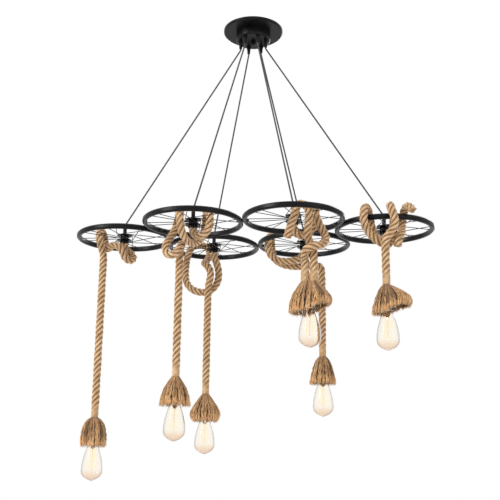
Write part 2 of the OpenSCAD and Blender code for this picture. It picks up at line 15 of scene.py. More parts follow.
import bpy
import numpy as np
from mathutils import Matrix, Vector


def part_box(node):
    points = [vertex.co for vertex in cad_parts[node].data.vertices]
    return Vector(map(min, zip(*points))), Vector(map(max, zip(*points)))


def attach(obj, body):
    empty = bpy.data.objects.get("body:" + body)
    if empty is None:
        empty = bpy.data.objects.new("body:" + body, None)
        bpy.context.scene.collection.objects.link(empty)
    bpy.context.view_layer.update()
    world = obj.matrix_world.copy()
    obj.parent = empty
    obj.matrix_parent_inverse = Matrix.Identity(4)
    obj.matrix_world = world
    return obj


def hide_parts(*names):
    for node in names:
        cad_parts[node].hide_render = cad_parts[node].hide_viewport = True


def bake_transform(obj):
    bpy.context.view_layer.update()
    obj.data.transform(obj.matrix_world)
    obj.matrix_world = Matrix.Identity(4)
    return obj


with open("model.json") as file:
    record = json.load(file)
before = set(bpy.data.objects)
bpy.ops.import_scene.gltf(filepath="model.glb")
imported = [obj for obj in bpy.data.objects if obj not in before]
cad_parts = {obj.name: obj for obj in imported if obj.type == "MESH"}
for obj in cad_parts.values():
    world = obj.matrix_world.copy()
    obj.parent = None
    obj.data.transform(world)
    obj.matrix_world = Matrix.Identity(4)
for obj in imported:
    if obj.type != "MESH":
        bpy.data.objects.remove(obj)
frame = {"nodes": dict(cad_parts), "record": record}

LOG = logging.getLogger("chandelier")

Point = tuple[float, float, float]
Colour = tuple[float, float, float]

# Height of the rope cup's mouth under the middle of a wheel
CUP_DROP = -0.0185

# Routes of the ropes from the middle of each wheel's hub, in metres
ROUTE_1 = (
    (0, 0, CUP_DROP), (0, 0, -0.03), (0.008, 0.008, -0.042), (0.024, 0.014, -0.052),
    (0.032, 0.008, -0.068), (0.024, -0.008, -0.08), (0.01, -0.022, -0.07), (0.004, -0.028, -0.046),
    (-0.012, -0.028, -0.03), (-0.033, -0.02, -0.026), (-0.053, 0, -0.034), (-0.069, 0.022, -0.028),
    (-0.075, 0.031, -0.004), (-0.077, 0.02, 0.018), (-0.078, 0, 0.027), (-0.077, -0.02, 0.017),
    (-0.075, -0.03, -0.008), (-0.067, -0.022, -0.036), (-0.062, -0.014, -0.058), (-0.062, -0.014, -0.08),
)
ROUTE_2 = (
    (0, 0, CUP_DROP), (0, 0, -0.03), (0.012, -0.006, -0.046), (0.038, -0.016, -0.046),
    (0.057, -0.024, -0.024), (0.058, -0.028, 0.006), (0.054, -0.016, 0.028), (0.04, 0.006, 0.036),
    (0.03, 0.036, 0.032), (0.024, 0.062, 0.004), (0.018, 0.054, -0.034), (0.002, 0.022, -0.064),
    (-0.014, -0.02, -0.064), (-0.024, -0.056, -0.038), (-0.024, -0.064, 0.004), (-0.032, -0.034, 0.036),
    (-0.046, 0.006, 0.034), (-0.056, 0.031, 0.008), (-0.066, 0.018, -0.034), (-0.08, -0.002, -0.062),
    (-0.081, -0.012, -0.09), (-0.062, -0.016, -0.107), (-0.041, -0.01, -0.092), (-0.034, 0.006, -0.066),
    (-0.038, 0.028, -0.054), (-0.048, 0.042, -0.068), (-0.048, 0.04, -0.094), (-0.048, 0.04, -0.116),
)
ROUTE_3 = (
    (0, 0, CUP_DROP), (0, 0, -0.03), (0.01, 0, -0.052), (0.02, 0.002, -0.084), (0.016, 0.004, -0.12),
    (-0.005, 0.004, -0.148), (-0.036, 0.004, -0.154), (-0.074, 0.006, -0.142), (-0.098, 0.016, -0.112),
    (-0.102, 0.03, -0.066), (-0.102, 0.044, -0.026), (-0.094, 0.048, 0.012), (-0.066, 0.056, 0.028),
    (-0.034, 0.066, 0.02), (-0.024, 0.064, -0.014), (-0.034, 0.036, -0.042), (-0.034, 0.004, -0.052),
    (-0.018, -0.022, -0.064), (-0.003, -0.029, -0.084), (-0.002, -0.028, -0.106), (-0.01, -0.024, -0.13),
    (-0.012, -0.02, -0.15), (-0.012, -0.02, -0.172),
)
ROUTE_4 = (
    (0, 0, CUP_DROP), (0, 0, -0.03), (0.008, 0.008, -0.046), (0.03, 0.02, -0.05), (0.054, 0.026, -0.03),
    (0.06, 0.026, 0), (0.062, 0.016, 0.026), (0.064, -0.003, 0.032), (0.066, -0.022, 0.024),
    (0.068, -0.03, -0.004), (0.08, -0.024, -0.034), (0.099, -0.018, -0.062), (0.092, -0.036, -0.092),
    (0.062, -0.066, -0.1), (0.036, -0.058, -0.11), (0.036, -0.03, -0.124), (0.036, -0.03, -0.14),
)
ROUTE_4_TAIL = (
    (-0.01, -0.066, -0.074), (-0.002, -0.074, -0.044), (0.014, -0.082, -0.014), (0.017, -0.088, 0.012),
    (0.033, -0.089, 0.02), (0.05, -0.084, 0.011), (0.055, -0.079, -0.012), (0.05, -0.068, -0.038),
    (0.043, -0.046, -0.064), (0.052, -0.024, -0.086), (0.062, -0.029, -0.11), (0.061, -0.03, -0.124),
    (0.061, -0.03, -0.14),
)
ROUTE_5 = (
    (0, 0, CUP_DROP), (0, 0, -0.03), (-0.006, -0.004, -0.044), (-0.024, -0.012, -0.056),
    (-0.05, -0.02, -0.06), (-0.084, -0.024, -0.06), (-0.11, -0.032, -0.038), (-0.114, -0.042, -0.006),
    (-0.112, -0.024, 0.024), (-0.11, 0.002, 0.034), (-0.111, 0.028, 0.023), (-0.112, 0.041, -0.006),
    (-0.102, 0.03, -0.042), (-0.07, 0.01, -0.064), (-0.034, 0.01, -0.072), (0.004, 0.006, -0.072),
    (0.038, 0, -0.068), (0.056, -0.006, -0.078), (0.058, -0.008, -0.096), (0.058, -0.008, -0.116),
)
ROUTE_6 = (
    (0, 0, CUP_DROP), (0, 0, -0.03), (-0.006, -0.014, -0.046), (-0.016, -0.046, -0.048),
    (-0.028, -0.082, -0.044), (-0.036, -0.108, -0.028), (-0.039, -0.111, 0.003),
    (-0.045, -0.122, 0.034), (-0.054, -0.15, 0.031), (-0.058, -0.161, 0), (-0.056, -0.156, -0.028),
    (-0.042, -0.15, -0.052), (-0.02, -0.144, -0.074), (0.006, -0.132, -0.084), (0.024, -0.116, -0.07),
    (0.028, -0.111, -0.04), (0.028, -0.111, 0.002), (0.022, -0.124, 0.034), (0.017, -0.154, 0.033),
    (0.026, -0.171, 0.004), (0.034, -0.169, -0.028), (0.022, -0.168, -0.052), (0.006, -0.166, -0.066),
    (0.002, -0.162, -0.084), (0.002, -0.16, -0.104), (0.002, -0.16, -0.12),
)
ROUTE_6_TAIL = (
    (0.082, -0.156, 0.012), (0.075, -0.145, 0.026), (0.064, -0.121, 0.038), (0.054, -0.103, 0.01),
    (0.052, -0.104, -0.024), (0.05, -0.124, -0.046), (0.044, -0.144, -0.062), (0.038, -0.152, -0.078),
    (0.037, -0.153, -0.092),
)


class Body(Enum):
    """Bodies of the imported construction, with a number added where there are six."""

    FRAME = "frame"
    PENDANT = "pendant_"
    BULB = "bulb_"

    def of(self, number: int) -> str:
        """Name of this body for one wheel's number."""
        return f"{self.value}{number}"


class RopeRun(Enum):
    """What a length of rope runs between."""

    HUB_TO_TASSEL = "from the cup under the hub down to the tassel"
    CUT_TO_TASSEL = "from a cut end down to the tassel"
    CUT_TO_CUT = "from one cut end to another"


# Shader nodes and finishes


class NodeTree:
    """Shader nodes of a material or of the world: adds them and links them in one call."""

    def __init__(self, owner: bpy.types.Material | bpy.types.World) -> None:
        """Start with no nodes.

        Args:
            owner: The material or world that the nodes belong to.
        """
        owner.use_nodes = True
        self.tree = owner.node_tree
        self.tree.nodes.clear()

    def add(self, kind: str, sockets: dict | None = None, **settings) -> bpy.types.Node:
        """Add one node.

        Args:
            kind: The node's type without its ShaderNode prefix.
            sockets: Values or output sockets for its inputs, by name or number.
            settings: The node's own settings.

        Returns:
            The new node.
        """
        node = self.tree.nodes.new("ShaderNode" + kind)
        for key, value in settings.items():
            setattr(node, key, value)
        for key, value in (sockets or {}).items():
            if isinstance(value, bpy.types.NodeSocket):
                self.tree.links.new(value, node.inputs[key])
            else:
                node.inputs[key].default_value = value
        return node


class Shader(NodeTree):
    """A material under construction, with one Principled shader."""

    def __init__(self, name: str) -> None:
        """Start a material with a Principled shader and an output.

        Args:
            name: Name of the material.
        """
        self.material = bpy.data.materials.new(name)
        super().__init__(self.material)
        self.principled = self.add("BsdfPrincipled")
        self.add("OutputMaterial", {"Surface": self.principled.outputs[0]})

    def surface(self, **sockets: float | tuple | bpy.types.NodeSocket) -> None:
        """Set or link inputs of the Principled shader.

        Args:
            sockets: Values or output sockets by the input's name, an underscore standing for a space.
        """
        for key, value in sockets.items():
            name = key.replace("_", " ")
            if isinstance(value, bpy.types.NodeSocket):
                self.tree.links.new(value, self.principled.inputs[name])
            else:
                self.principled.inputs[name].default_value = value

    def noise(
        self, vector: bpy.types.NodeSocket, scale: float, detail: float = 4.0
    ) -> bpy.types.NodeSocket:
        """A noise pattern's value.

        Args:
            vector: Where the pattern is read.
            scale: Its frequency.
            detail: Its number of finer octaves.

        Returns:
            The noise node's value output.
        """
        return self.add("TexNoise", {"Vector": vector, "Scale": scale, "Detail": detail}).outputs[0]

    def ramp(self, value: bpy.types.NodeSocket, stops: dict[float, Colour]) -> bpy.types.NodeSocket:
        """Turn a value into a colour.

        Args:
            value: The value to turn.
            stops: Colours by their place from 0 to 1, in rising order.

        Returns:
            The ramp's colour output.
        """
        node = self.add("ValToRGB", {0: value})
        elements = node.color_ramp.elements
        while len(elements) < len(stops):
            elements.new(0.5)
        for element, (place, colour) in zip(elements, stops.items()):
            element.position = place
            element.color = (*colour, 1)
        return node.outputs[0]

    def stretch(self, vector: bpy.types.NodeSocket, scale: Point) -> bpy.types.NodeSocket:
        """Scale a pattern's vector by a different factor on each axis."""
        return self.add("Mapping", {"Vector": vector, "Scale": scale}).outputs[0]

    def bump(self, height: bpy.types.NodeSocket, distance: float, strength: float = 1.0) -> None:
        """Raise the surface by a height pattern.

        Args:
            height: The pattern.
            distance: Height in metres at a pattern value of one.
            strength: Share of the effect.
        """
        node = self.add("Bump", {"Height": height, "Distance": distance, "Strength": strength})
        self.surface(Normal=node.outputs[0])


@dataclass(frozen=True)
class Enamel:
    """Dark or plain smooth finish of painted metal, moulded plastic or plated steel."""

    name: str
    colour: Colour
    lighter: Colour
    roughness: float
    metallic: float = 0.0
    cloud: float = 38.0
    duller: float = 0.08
    glossier: float = 0.05
    grain: float = 900.0
    grain_depth: float = 0.00003
    specular: float = 0.5

    def material(self) -> bpy.types.Material:
        """Build the finish: a cloudy colour, uneven gloss and a fine grain.

        Returns:
            The material.
        """
        shader = Shader(self.name)
        place = shader.add("TexCoord").outputs["Object"]
        cloud = shader.noise(place, self.cloud)
        grain = shader.noise(place, self.grain, 2.0)
        colour = shader.ramp(cloud, {0.35: self.colour, 0.7: self.lighter})
        gloss = shader.add("MapRange", {
            "Value": cloud, "From Min": 0.3, "From Max": 0.7,
            "To Min": self.roughness - self.glossier, "To Max": self.roughness + self.duller,
        })
        shader.surface(
            Base_Color=colour, Roughness=gloss.outputs[0], Metallic=self.metallic,
            Specular_IOR_Level=self.specular,
        )
        shader.bump(grain, self.grain_depth)
        return shader.material


@dataclass(frozen=True)
class BraidedSheath:
    """Textile sheath of a suspension cable: two sets of threads that cross round it."""

    name: str = "cable sheath"
    colour: Colour = (0.035, 0.035, 0.038)
    lighter: Colour = (0.11, 0.11, 0.115)
    threads: float = 420.0
    slant: tuple[float, float] = (0.9, 0.5)
    roughness: float = 0.75
    relief: float = 0.0002

    def material(self) -> bpy.types.Material:
        """Build the finish.

        Returns:
            The material.
        """
        shader = Shader(self.name)
        place = shader.add("TexCoord").outputs["Object"]
        waves = []
        for turn in (-1, 1):
            rotation = (turn * self.slant[0], turn * self.slant[1], 0)
            tilted = shader.add("Mapping", {"Vector": place, "Rotation": rotation})
            sockets = {"Vector": tilted.outputs[0], "Scale": self.threads, "Distortion": 1.0}
            waves.append(shader.add("TexWave", sockets).outputs["Fac"])
        both = shader.add("Math", {0: waves[0], 1: waves[1]}, operation="MULTIPLY").outputs[0]
        colour = shader.ramp(both, {0.1: self.colour, 0.7: self.lighter})
        shader.surface(Base_Color=colour, Roughness=self.roughness)
        shader.bump(both, self.relief)
        return shader.material


@dataclass(frozen=True)
class Jute:
    """Dry jute fibre. It reads the UV map, along and round the piece, and the shade attribute."""

    name: str
    dark: Colour
    mid: Colour
    light: Colour
    # Colours of painted shade along the shade attribute, from the groove colour deep down to the crest colour
    # on top; a crest colour that is not white is painted bulb light.
    painted_hollow_shade: Colour
    slope: Colour = (0.56, 0.51, 0.46)
    crest: Colour = (1.0, 1.0, 1.0)
    along: float = 130.0
    around: float = 60.0
    depth: float = 0.0004
    cloud: float = 55.0
    cloud_share: float = 0.4
    roughness: float = 0.88
    sheen: float = 0.25

    def material(self) -> bpy.types.Material:
        """Build the finish: streaks of fibre along the piece, with painted shade where it lies deep.

        Returns:
            The material.
        """
        shader = Shader(self.name)
        uv = shader.add("UVMap").outputs[0]
        place = shader.add("TexCoord").outputs["Object"]
        fibre = shader.noise(shader.stretch(uv, (self.along, self.around, 1)), 1.0, 6.0)
        cloud = shader.noise(place, self.cloud, 3.0)
        both = shader.add("Mix", {"Factor": self.cloud_share, 2: fibre, 3: cloud}, data_type="FLOAT")
        tan = shader.ramp(both.outputs[0], {0.34: self.dark, 0.5: self.mid, 0.66: self.light})
        # Painted shade: the shade attribute darkens the fibre towards the groove colour where the piece lies
        # deep; on the yarn the crest colour at the top is painted bulb light.
        shade = shader.add("Attribute", attribute_name="shade").outputs["Fac"]
        depth = shader.ramp(shade, {0.08: self.painted_hollow_shade, 0.5: self.slope, 0.9: (1, 1, 1), 1.0: self.crest})
        colour = shader.add("Mix", {"Factor": 1.0, 6: tan, 7: depth}, data_type="RGBA", blend_type="MULTIPLY")
        shader.surface(
            Base_Color=colour.outputs[2], Roughness=self.roughness, Sheen_Weight=self.sheen,
            Sheen_Roughness=0.5,
        )
        shader.bump(fibre, self.depth)
        return shader.material


@dataclass(frozen=True)
class BlownGlass:
    """Clear glass of a lit bulb, grey where it is seen edge on and peach at its foot, a painted reflection of
    the filament's glow.
    """

    name: str = "bulb glass"
    clear: Colour = (0.985, 0.96, 0.9)
    rim: Colour = (0.83, 0.8, 0.8)
    edge: Colour = (0.5, 0.48, 0.49)
    # Peach tint low on the glass: painted reflection of the filament's glow.
    foot: Colour = (0.965, 0.875, 0.805)
    greyer: tuple[float, float, float] = (0.24, 0.44, 0.68)
    refraction: float = 1.15
    roughness: float = 0.02

    def material(self) -> bpy.types.Material:
        """Build the finish.

        Returns:
            The material.
        """
        shader = Shader(self.name)
        facing = shader.add("LayerWeight", {"Blend": 0.35}).outputs["Facing"]
        grey = shader.ramp(facing, dict(zip(self.greyer, (self.clear, self.rim, self.edge))))
        # Painted reflection of the filament's glow: the glass turns peach towards its tip.
        low = shader.add("Attribute", attribute_name="foot").outputs["Fac"]
        painted_bulb_light = shader.ramp(low, {0.0: (1, 1, 1), 1.0: self.foot})
        colour = shader.add("Mix", {"Factor": 1.0, 6: grey, 7: painted_bulb_light}, data_type="RGBA", blend_type="MULTIPLY")
        shader.surface(
            Base_Color=colour.outputs[2], Roughness=self.roughness, IOR=self.refraction,
            Transmission_Weight=1.0,
        )
        return shader.material


@dataclass(frozen=True)
class Glow:
    """Hot filament wire."""

    name: str = "filament glow"
    wire: Colour = (0.3, 0.12, 0.03)
    colour: Colour = (1.0, 0.76, 0.44)
    strength: float = 1.1

    def material(self) -> bpy.types.Material:
        """Build the finish.

        Returns:
            The material.
        """
        shader = Shader(self.name)
        shader.surface(
            Base_Color=(*self.wire, 1), Emission_Color=(*self.colour, 1), Emission_Strength=self.strength
        )
        return shader.material


class Finishes:
    """All finishes, each built once. Those of construction nodes are kept by the record's slots."""

    def __init__(self) -> None:
        """Build every finish of the chandelier."""
        black = (0.0045, 0.004, 0.0045)
        enamels = {
            "black_steel": Enamel("black powder coat", black, (0.0085, 0.0075, 0.0085), 0.3, specular=0.12),
            "zinc_steel": Enamel("zinc plated steel", (0.5, 0.5, 0.5), (0.66, 0.67, 0.68), 0.35, 1.0),
            "dark_steel": Enamel("blackened steel", (0.02, 0.02, 0.021), (0.045, 0.045, 0.045), 0.4, 0.6),
            "black_plastic": Enamel("black moulding", black, (0.008, 0.0075, 0.008), 0.45, specular=0.12),
            "holder_plastic": Enamel("lamp holder moulding", (0.012, 0.011, 0.01), (0.03, 0.027, 0.025), 0.4),
            "white_plastic": Enamel("white moulding", (0.75, 0.75, 0.72), (0.85, 0.85, 0.82), 0.5),
            "brass": Enamel("brass", (0.62, 0.42, 0.16), (0.82, 0.62, 0.3), 0.28, 1.0),
        }
        self.by_slot = {slot: enamel.material() for slot, enamel in enamels.items()}
        self.by_slot["cable_sheath"] = BraidedSheath().material()
        self.rope = Jute(
            "jute rope", (0.36, 0.2, 0.088), (0.6, 0.375, 0.19), (0.8, 0.58, 0.35), (0.07, 0.04, 0.024)
        ).material()
        # The yarn's amber crest colour is painted bulb light on the hem; its groove colour is painted shade.
        self.yarn = Jute(
            "jute yarn", (0.37, 0.182, 0.068), (0.61, 0.35, 0.148), (0.88, 0.565, 0.285),
            (0.05, 0.027, 0.014), crest=(1.0, 0.78, 0.56), along=90.0, around=2.0, depth=0.0003,
        ).material()
        self.fuzz = Jute(
            "jute fuzz", (0.46, 0.3, 0.16), (0.62, 0.43, 0.25), (0.76, 0.58, 0.38),
            (0.8, 0.78, 0.75), depth=0.0,
        ).material()
        self.glass = BlownGlass().material()
        self.stem_glass = BlownGlass(
            "stem glass", (0.97, 0.88, 0.8), (0.93, 0.8, 0.7), (0.86, 0.68, 0.54)
        ).material()
        self.filament = Glow().material()
        self.by_slot |= {"rope": self.rope, "tassel": self.yarn, "clear_glass": self.glass}


# Meshes from points


@dataclass
class MeshBook:
    """Collects points, faces, UV corners, a painted shade value for each point and a material for each face.
    """

    points: list[np.ndarray] = field(default_factory=list)
    faces: list[np.ndarray] = field(default_factory=list)
    corners: list[np.ndarray] = field(default_factory=list)
    shades: list[np.ndarray] = field(default_factory=list)
    slots: list[np.ndarray] = field(default_factory=list)
    count: int = 0

    def add(
        self, points: np.ndarray, faces: np.ndarray, corners: np.ndarray, shade: np.ndarray, slot: int
    ) -> None:
        """Add one patch of faces that all have as many corners.

        Args:
            points: Its points, one row each.
            faces: Its faces as rows of point numbers.
            corners: UV of every corner of every face.
            shade: One painted shade value for each point, 0 where it lies deepest and 1 on a crest.
            slot: Number of its material on the object.
        """
        self.points.append(points)
        self.faces.append(faces + self.count)
        self.corners.append(corners.reshape(-1, 2))
        self.shades.append(shade)
        self.slots.append(np.full(len(faces), slot, np.int32))
        self.count += len(points)

    def close(self, faces: np.ndarray, slot: int) -> None:
        """Add faces on the points of the last patch, with no pattern of their own.

        Args:
            faces: The faces as rows of point numbers in that patch.
            slot: Number of their material on the object.
        """
        self.faces.append(faces + self.count - len(self.points[-1]))
        self.corners.append(np.zeros((faces.size, 2)))
        self.slots.append(np.full(len(faces), slot, np.int32))

    def make(self, name: str, materials: list[bpy.types.Material]) -> bpy.types.Object:
        """Turn the patches into one object at the origin.

        Args:
            name: The object's name.
            materials: Its materials in the order of the patches' slots.

        Returns:
            The object.
        """
        loops = np.concatenate([f.ravel() for f in self.faces])
        sizes = np.concatenate([np.full(len(f), f.shape[1], np.int32) for f in self.faces])
        mesh = bpy.data.meshes.new(name)
        mesh.vertices.add(self.count)
        mesh.vertices.foreach_set("co", np.concatenate(self.points).astype(np.float32).ravel())
        mesh.loops.add(len(loops))
        mesh.loops.foreach_set("vertex_index", loops.astype(np.int32))
        mesh.polygons.add(len(sizes))
        starts = np.concatenate([[0], np.cumsum(sizes)[:-1]]).astype(np.int32)
        mesh.polygons.foreach_set("loop_start", starts)
        mesh.polygons.foreach_set("material_index", np.concatenate(self.slots))
        mesh.update(calc_edges=True)
        uv = mesh.uv_layers.new(name="UVMap")
        uv.data.foreach_set("uv", np.concatenate(self.corners).astype(np.float32).ravel())
        shade = mesh.attributes.new("shade", "FLOAT", "POINT")
        shade.data.foreach_set("value", np.concatenate(self.shades).astype(np.float32))
        mesh.polygons.foreach_set("use_smooth", np.ones(len(sizes), bool))
        mesh.validate()
        for material in materials:
            mesh.materials.append(material)
        obj = bpy.data.objects.new(name, mesh)
        bpy.context.scene.collection.objects.link(obj)
        return obj


def unit(v: np.ndarray) -> np.ndarray:
    """Each row of v, or v itself, at length one."""
    return v / np.maximum(np.linalg.norm(v, axis=-1, keepdims=True), 1e-12)


def smooth_route(route: np.ndarray, steps: int) -> np.ndarray:
    """Points on the cubic B-spline of a route, which starts and ends on its first and last point.

    Args:
        route: The route's own points.
        steps: Points for each span.

    Returns:
        The smooth points.
    """
    q = np.vstack([2 * route[0] - route[1], route, 2 * route[-1] - route[-2]])
    t = (np.arange(steps) / steps)[:, None]
    spans = [
        ((1 - t) ** 3 * q[i - 1] + (3 * t**3 - 6 * t**2 + 4) * q[i]
         + (3 * t**2 + 3 * t + 1 - 3 * t**3) * q[i + 1] + t**3 * q[i + 2]) / 6
        for i in range(1, len(route))
    ]
    return np.vstack([*spans, route[-1]])


def smooth_step(value: np.ndarray, start: float, end: float) -> np.ndarray:
    """Smooth change from 0 at start to 1 at end."""
    t = np.clip((value - start) / (end - start), 0, 1)
    return t * t * (3 - 2 * t)


def evenly(points: np.ndarray, gap: float) -> np.ndarray:
    """Space points evenly along a line.

    Args:
        points: The line's own points.
        gap: About how far the new points are apart.

    Returns:
        The new points, the line's two ends among them.
    """
    along = np.concatenate([[0], np.cumsum(np.linalg.norm(np.diff(points, axis=0), axis=1))])
    places = np.linspace(0, along[-1], max(2, round(along[-1] / gap) + 1))
    return np.stack([np.interp(places, along, points[:, k]) for k in range(3)], axis=1)


@dataclass
class Line:
    """A smooth line with a frame at each point that doesn't twist about it."""

    points: np.ndarray

    def __post_init__(self) -> None:
        """Work out the tangents, the two sideways directions and the lengths along the line."""
        step = np.gradient(self.points, axis=0)
        self.tangents = unit(step)
        side = np.array([0.31, 0.95, 0.05])
        sides = []
        for tangent in self.tangents:
            side = unit(side - (side @ tangent) * tangent)
            sides.append(side)
        self.sides = np.array(sides)
        self.ups = np.cross(self.tangents, self.sides)
        gaps = np.linalg.norm(np.diff(self.points, axis=0), axis=1)
        self.along = np.concatenate([[0], np.cumsum(gaps)])

    @property
    def length(self) -> float:
        """Length of the line."""
        return float(self.along[-1])

    def ring(self, angles: np.ndarray, radii: np.ndarray) -> np.ndarray:
        """Points round the line.

        Args:
            angles: Angle of each point, a row for each place along the line.
            radii: Distance of each point from the line, in the same order.

        Returns:
            The points, place by place.
        """
        out = np.cos(angles)[..., None] * self.sides[:, None] + np.sin(angles)[..., None] * self.ups[:, None]
        return self.points[:, None] + radii[..., None] * out


def grid_faces(rows: int, columns: int) -> np.ndarray:
    """Join the rings of a closed tube.

    Args:
        rows: Number of rings.
        columns: Corners of each ring.

    Returns:
        The faces as rows of four point numbers.
    """
    i, j = np.meshgrid(np.arange(rows - 1), np.arange(columns), indexing="ij")
    k = (j + 1) % columns
    ring, following = i * columns, (i + 1) * columns
    return np.stack([ring + j, ring + k, following + k, following + j], axis=-1).reshape(-1, 4)


def grid_corners(along: np.ndarray, around: np.ndarray) -> np.ndarray:
    """UV corners for grid_faces.

    Args:
        along: Length at each row.
        around: Turns at each row and column, with one column more than the tube has.

    Returns:
        The corners, face by face.
    """
    u = np.repeat(along[:, None], around.shape[1], axis=1)
    uv = np.stack([u, around], axis=-1)
    quads = np.stack([uv[:-1, :-1], uv[:-1, 1:], uv[1:, 1:], uv[1:, :-1]], axis=2)
    return quads.reshape(-1, 2)


# Share of a loose fibre's length at which it bends, and how strongly it does.
# Its widths there and at its tip are shares of the width at its root.
FIBRE_KNEE = 0.45
FIBRE_BEND = 1.4
FIBRE_WIDTHS = (0.8, 0.25)


def ribbons(
    book: MeshBook, roots: np.ndarray, outward: np.ndarray, bends: np.ndarray,
    lengths: np.ndarray, width: float, slot: int,
) -> None:
    """Add loose fibres, each a bent ribbon that tapers to its tip.

    Args:
        book: Where the faces go.
        roots: Where each fibre starts.
        outward: Direction in which it starts.
        bends: Direction towards which it bends.
        lengths: Its length.
        width: Its width at the root.
        slot: Number of its material.
    """
    count = len(roots)
    across = unit(np.cross(outward, bends) + 1e-6)
    knee = roots + outward * lengths[:, None] * FIBRE_KNEE
    tip = knee + unit(outward + FIBRE_BEND * bends) * lengths[:, None] * (1 - FIBRE_KNEE)
    half = across * width / 2
    at_knee, at_tip = (half * share for share in FIBRE_WIDTHS)
    points = np.stack([roots - half, roots + half, knee - at_knee, knee + at_knee,
                       tip - at_tip, tip + at_tip], axis=1).reshape(-1, 3)
    base = np.arange(count)[:, None] * 6
    faces = np.concatenate([base + np.array([0, 1, 3, 2]), base + np.array([2, 3, 5, 4])])
    place = np.concatenate([roots[:, 0] * 7, roots[:, 2] * 7])
    corners = np.stack([place[:, None] + np.array([0, 0, 0.01, 0.01]),
                        place[:, None] * 3 + np.array([0, 0.1, 0.1, 0])], axis=-1)
    book.add(points, faces, corners, np.full(len(points), 0.9), slot)


# Ropes


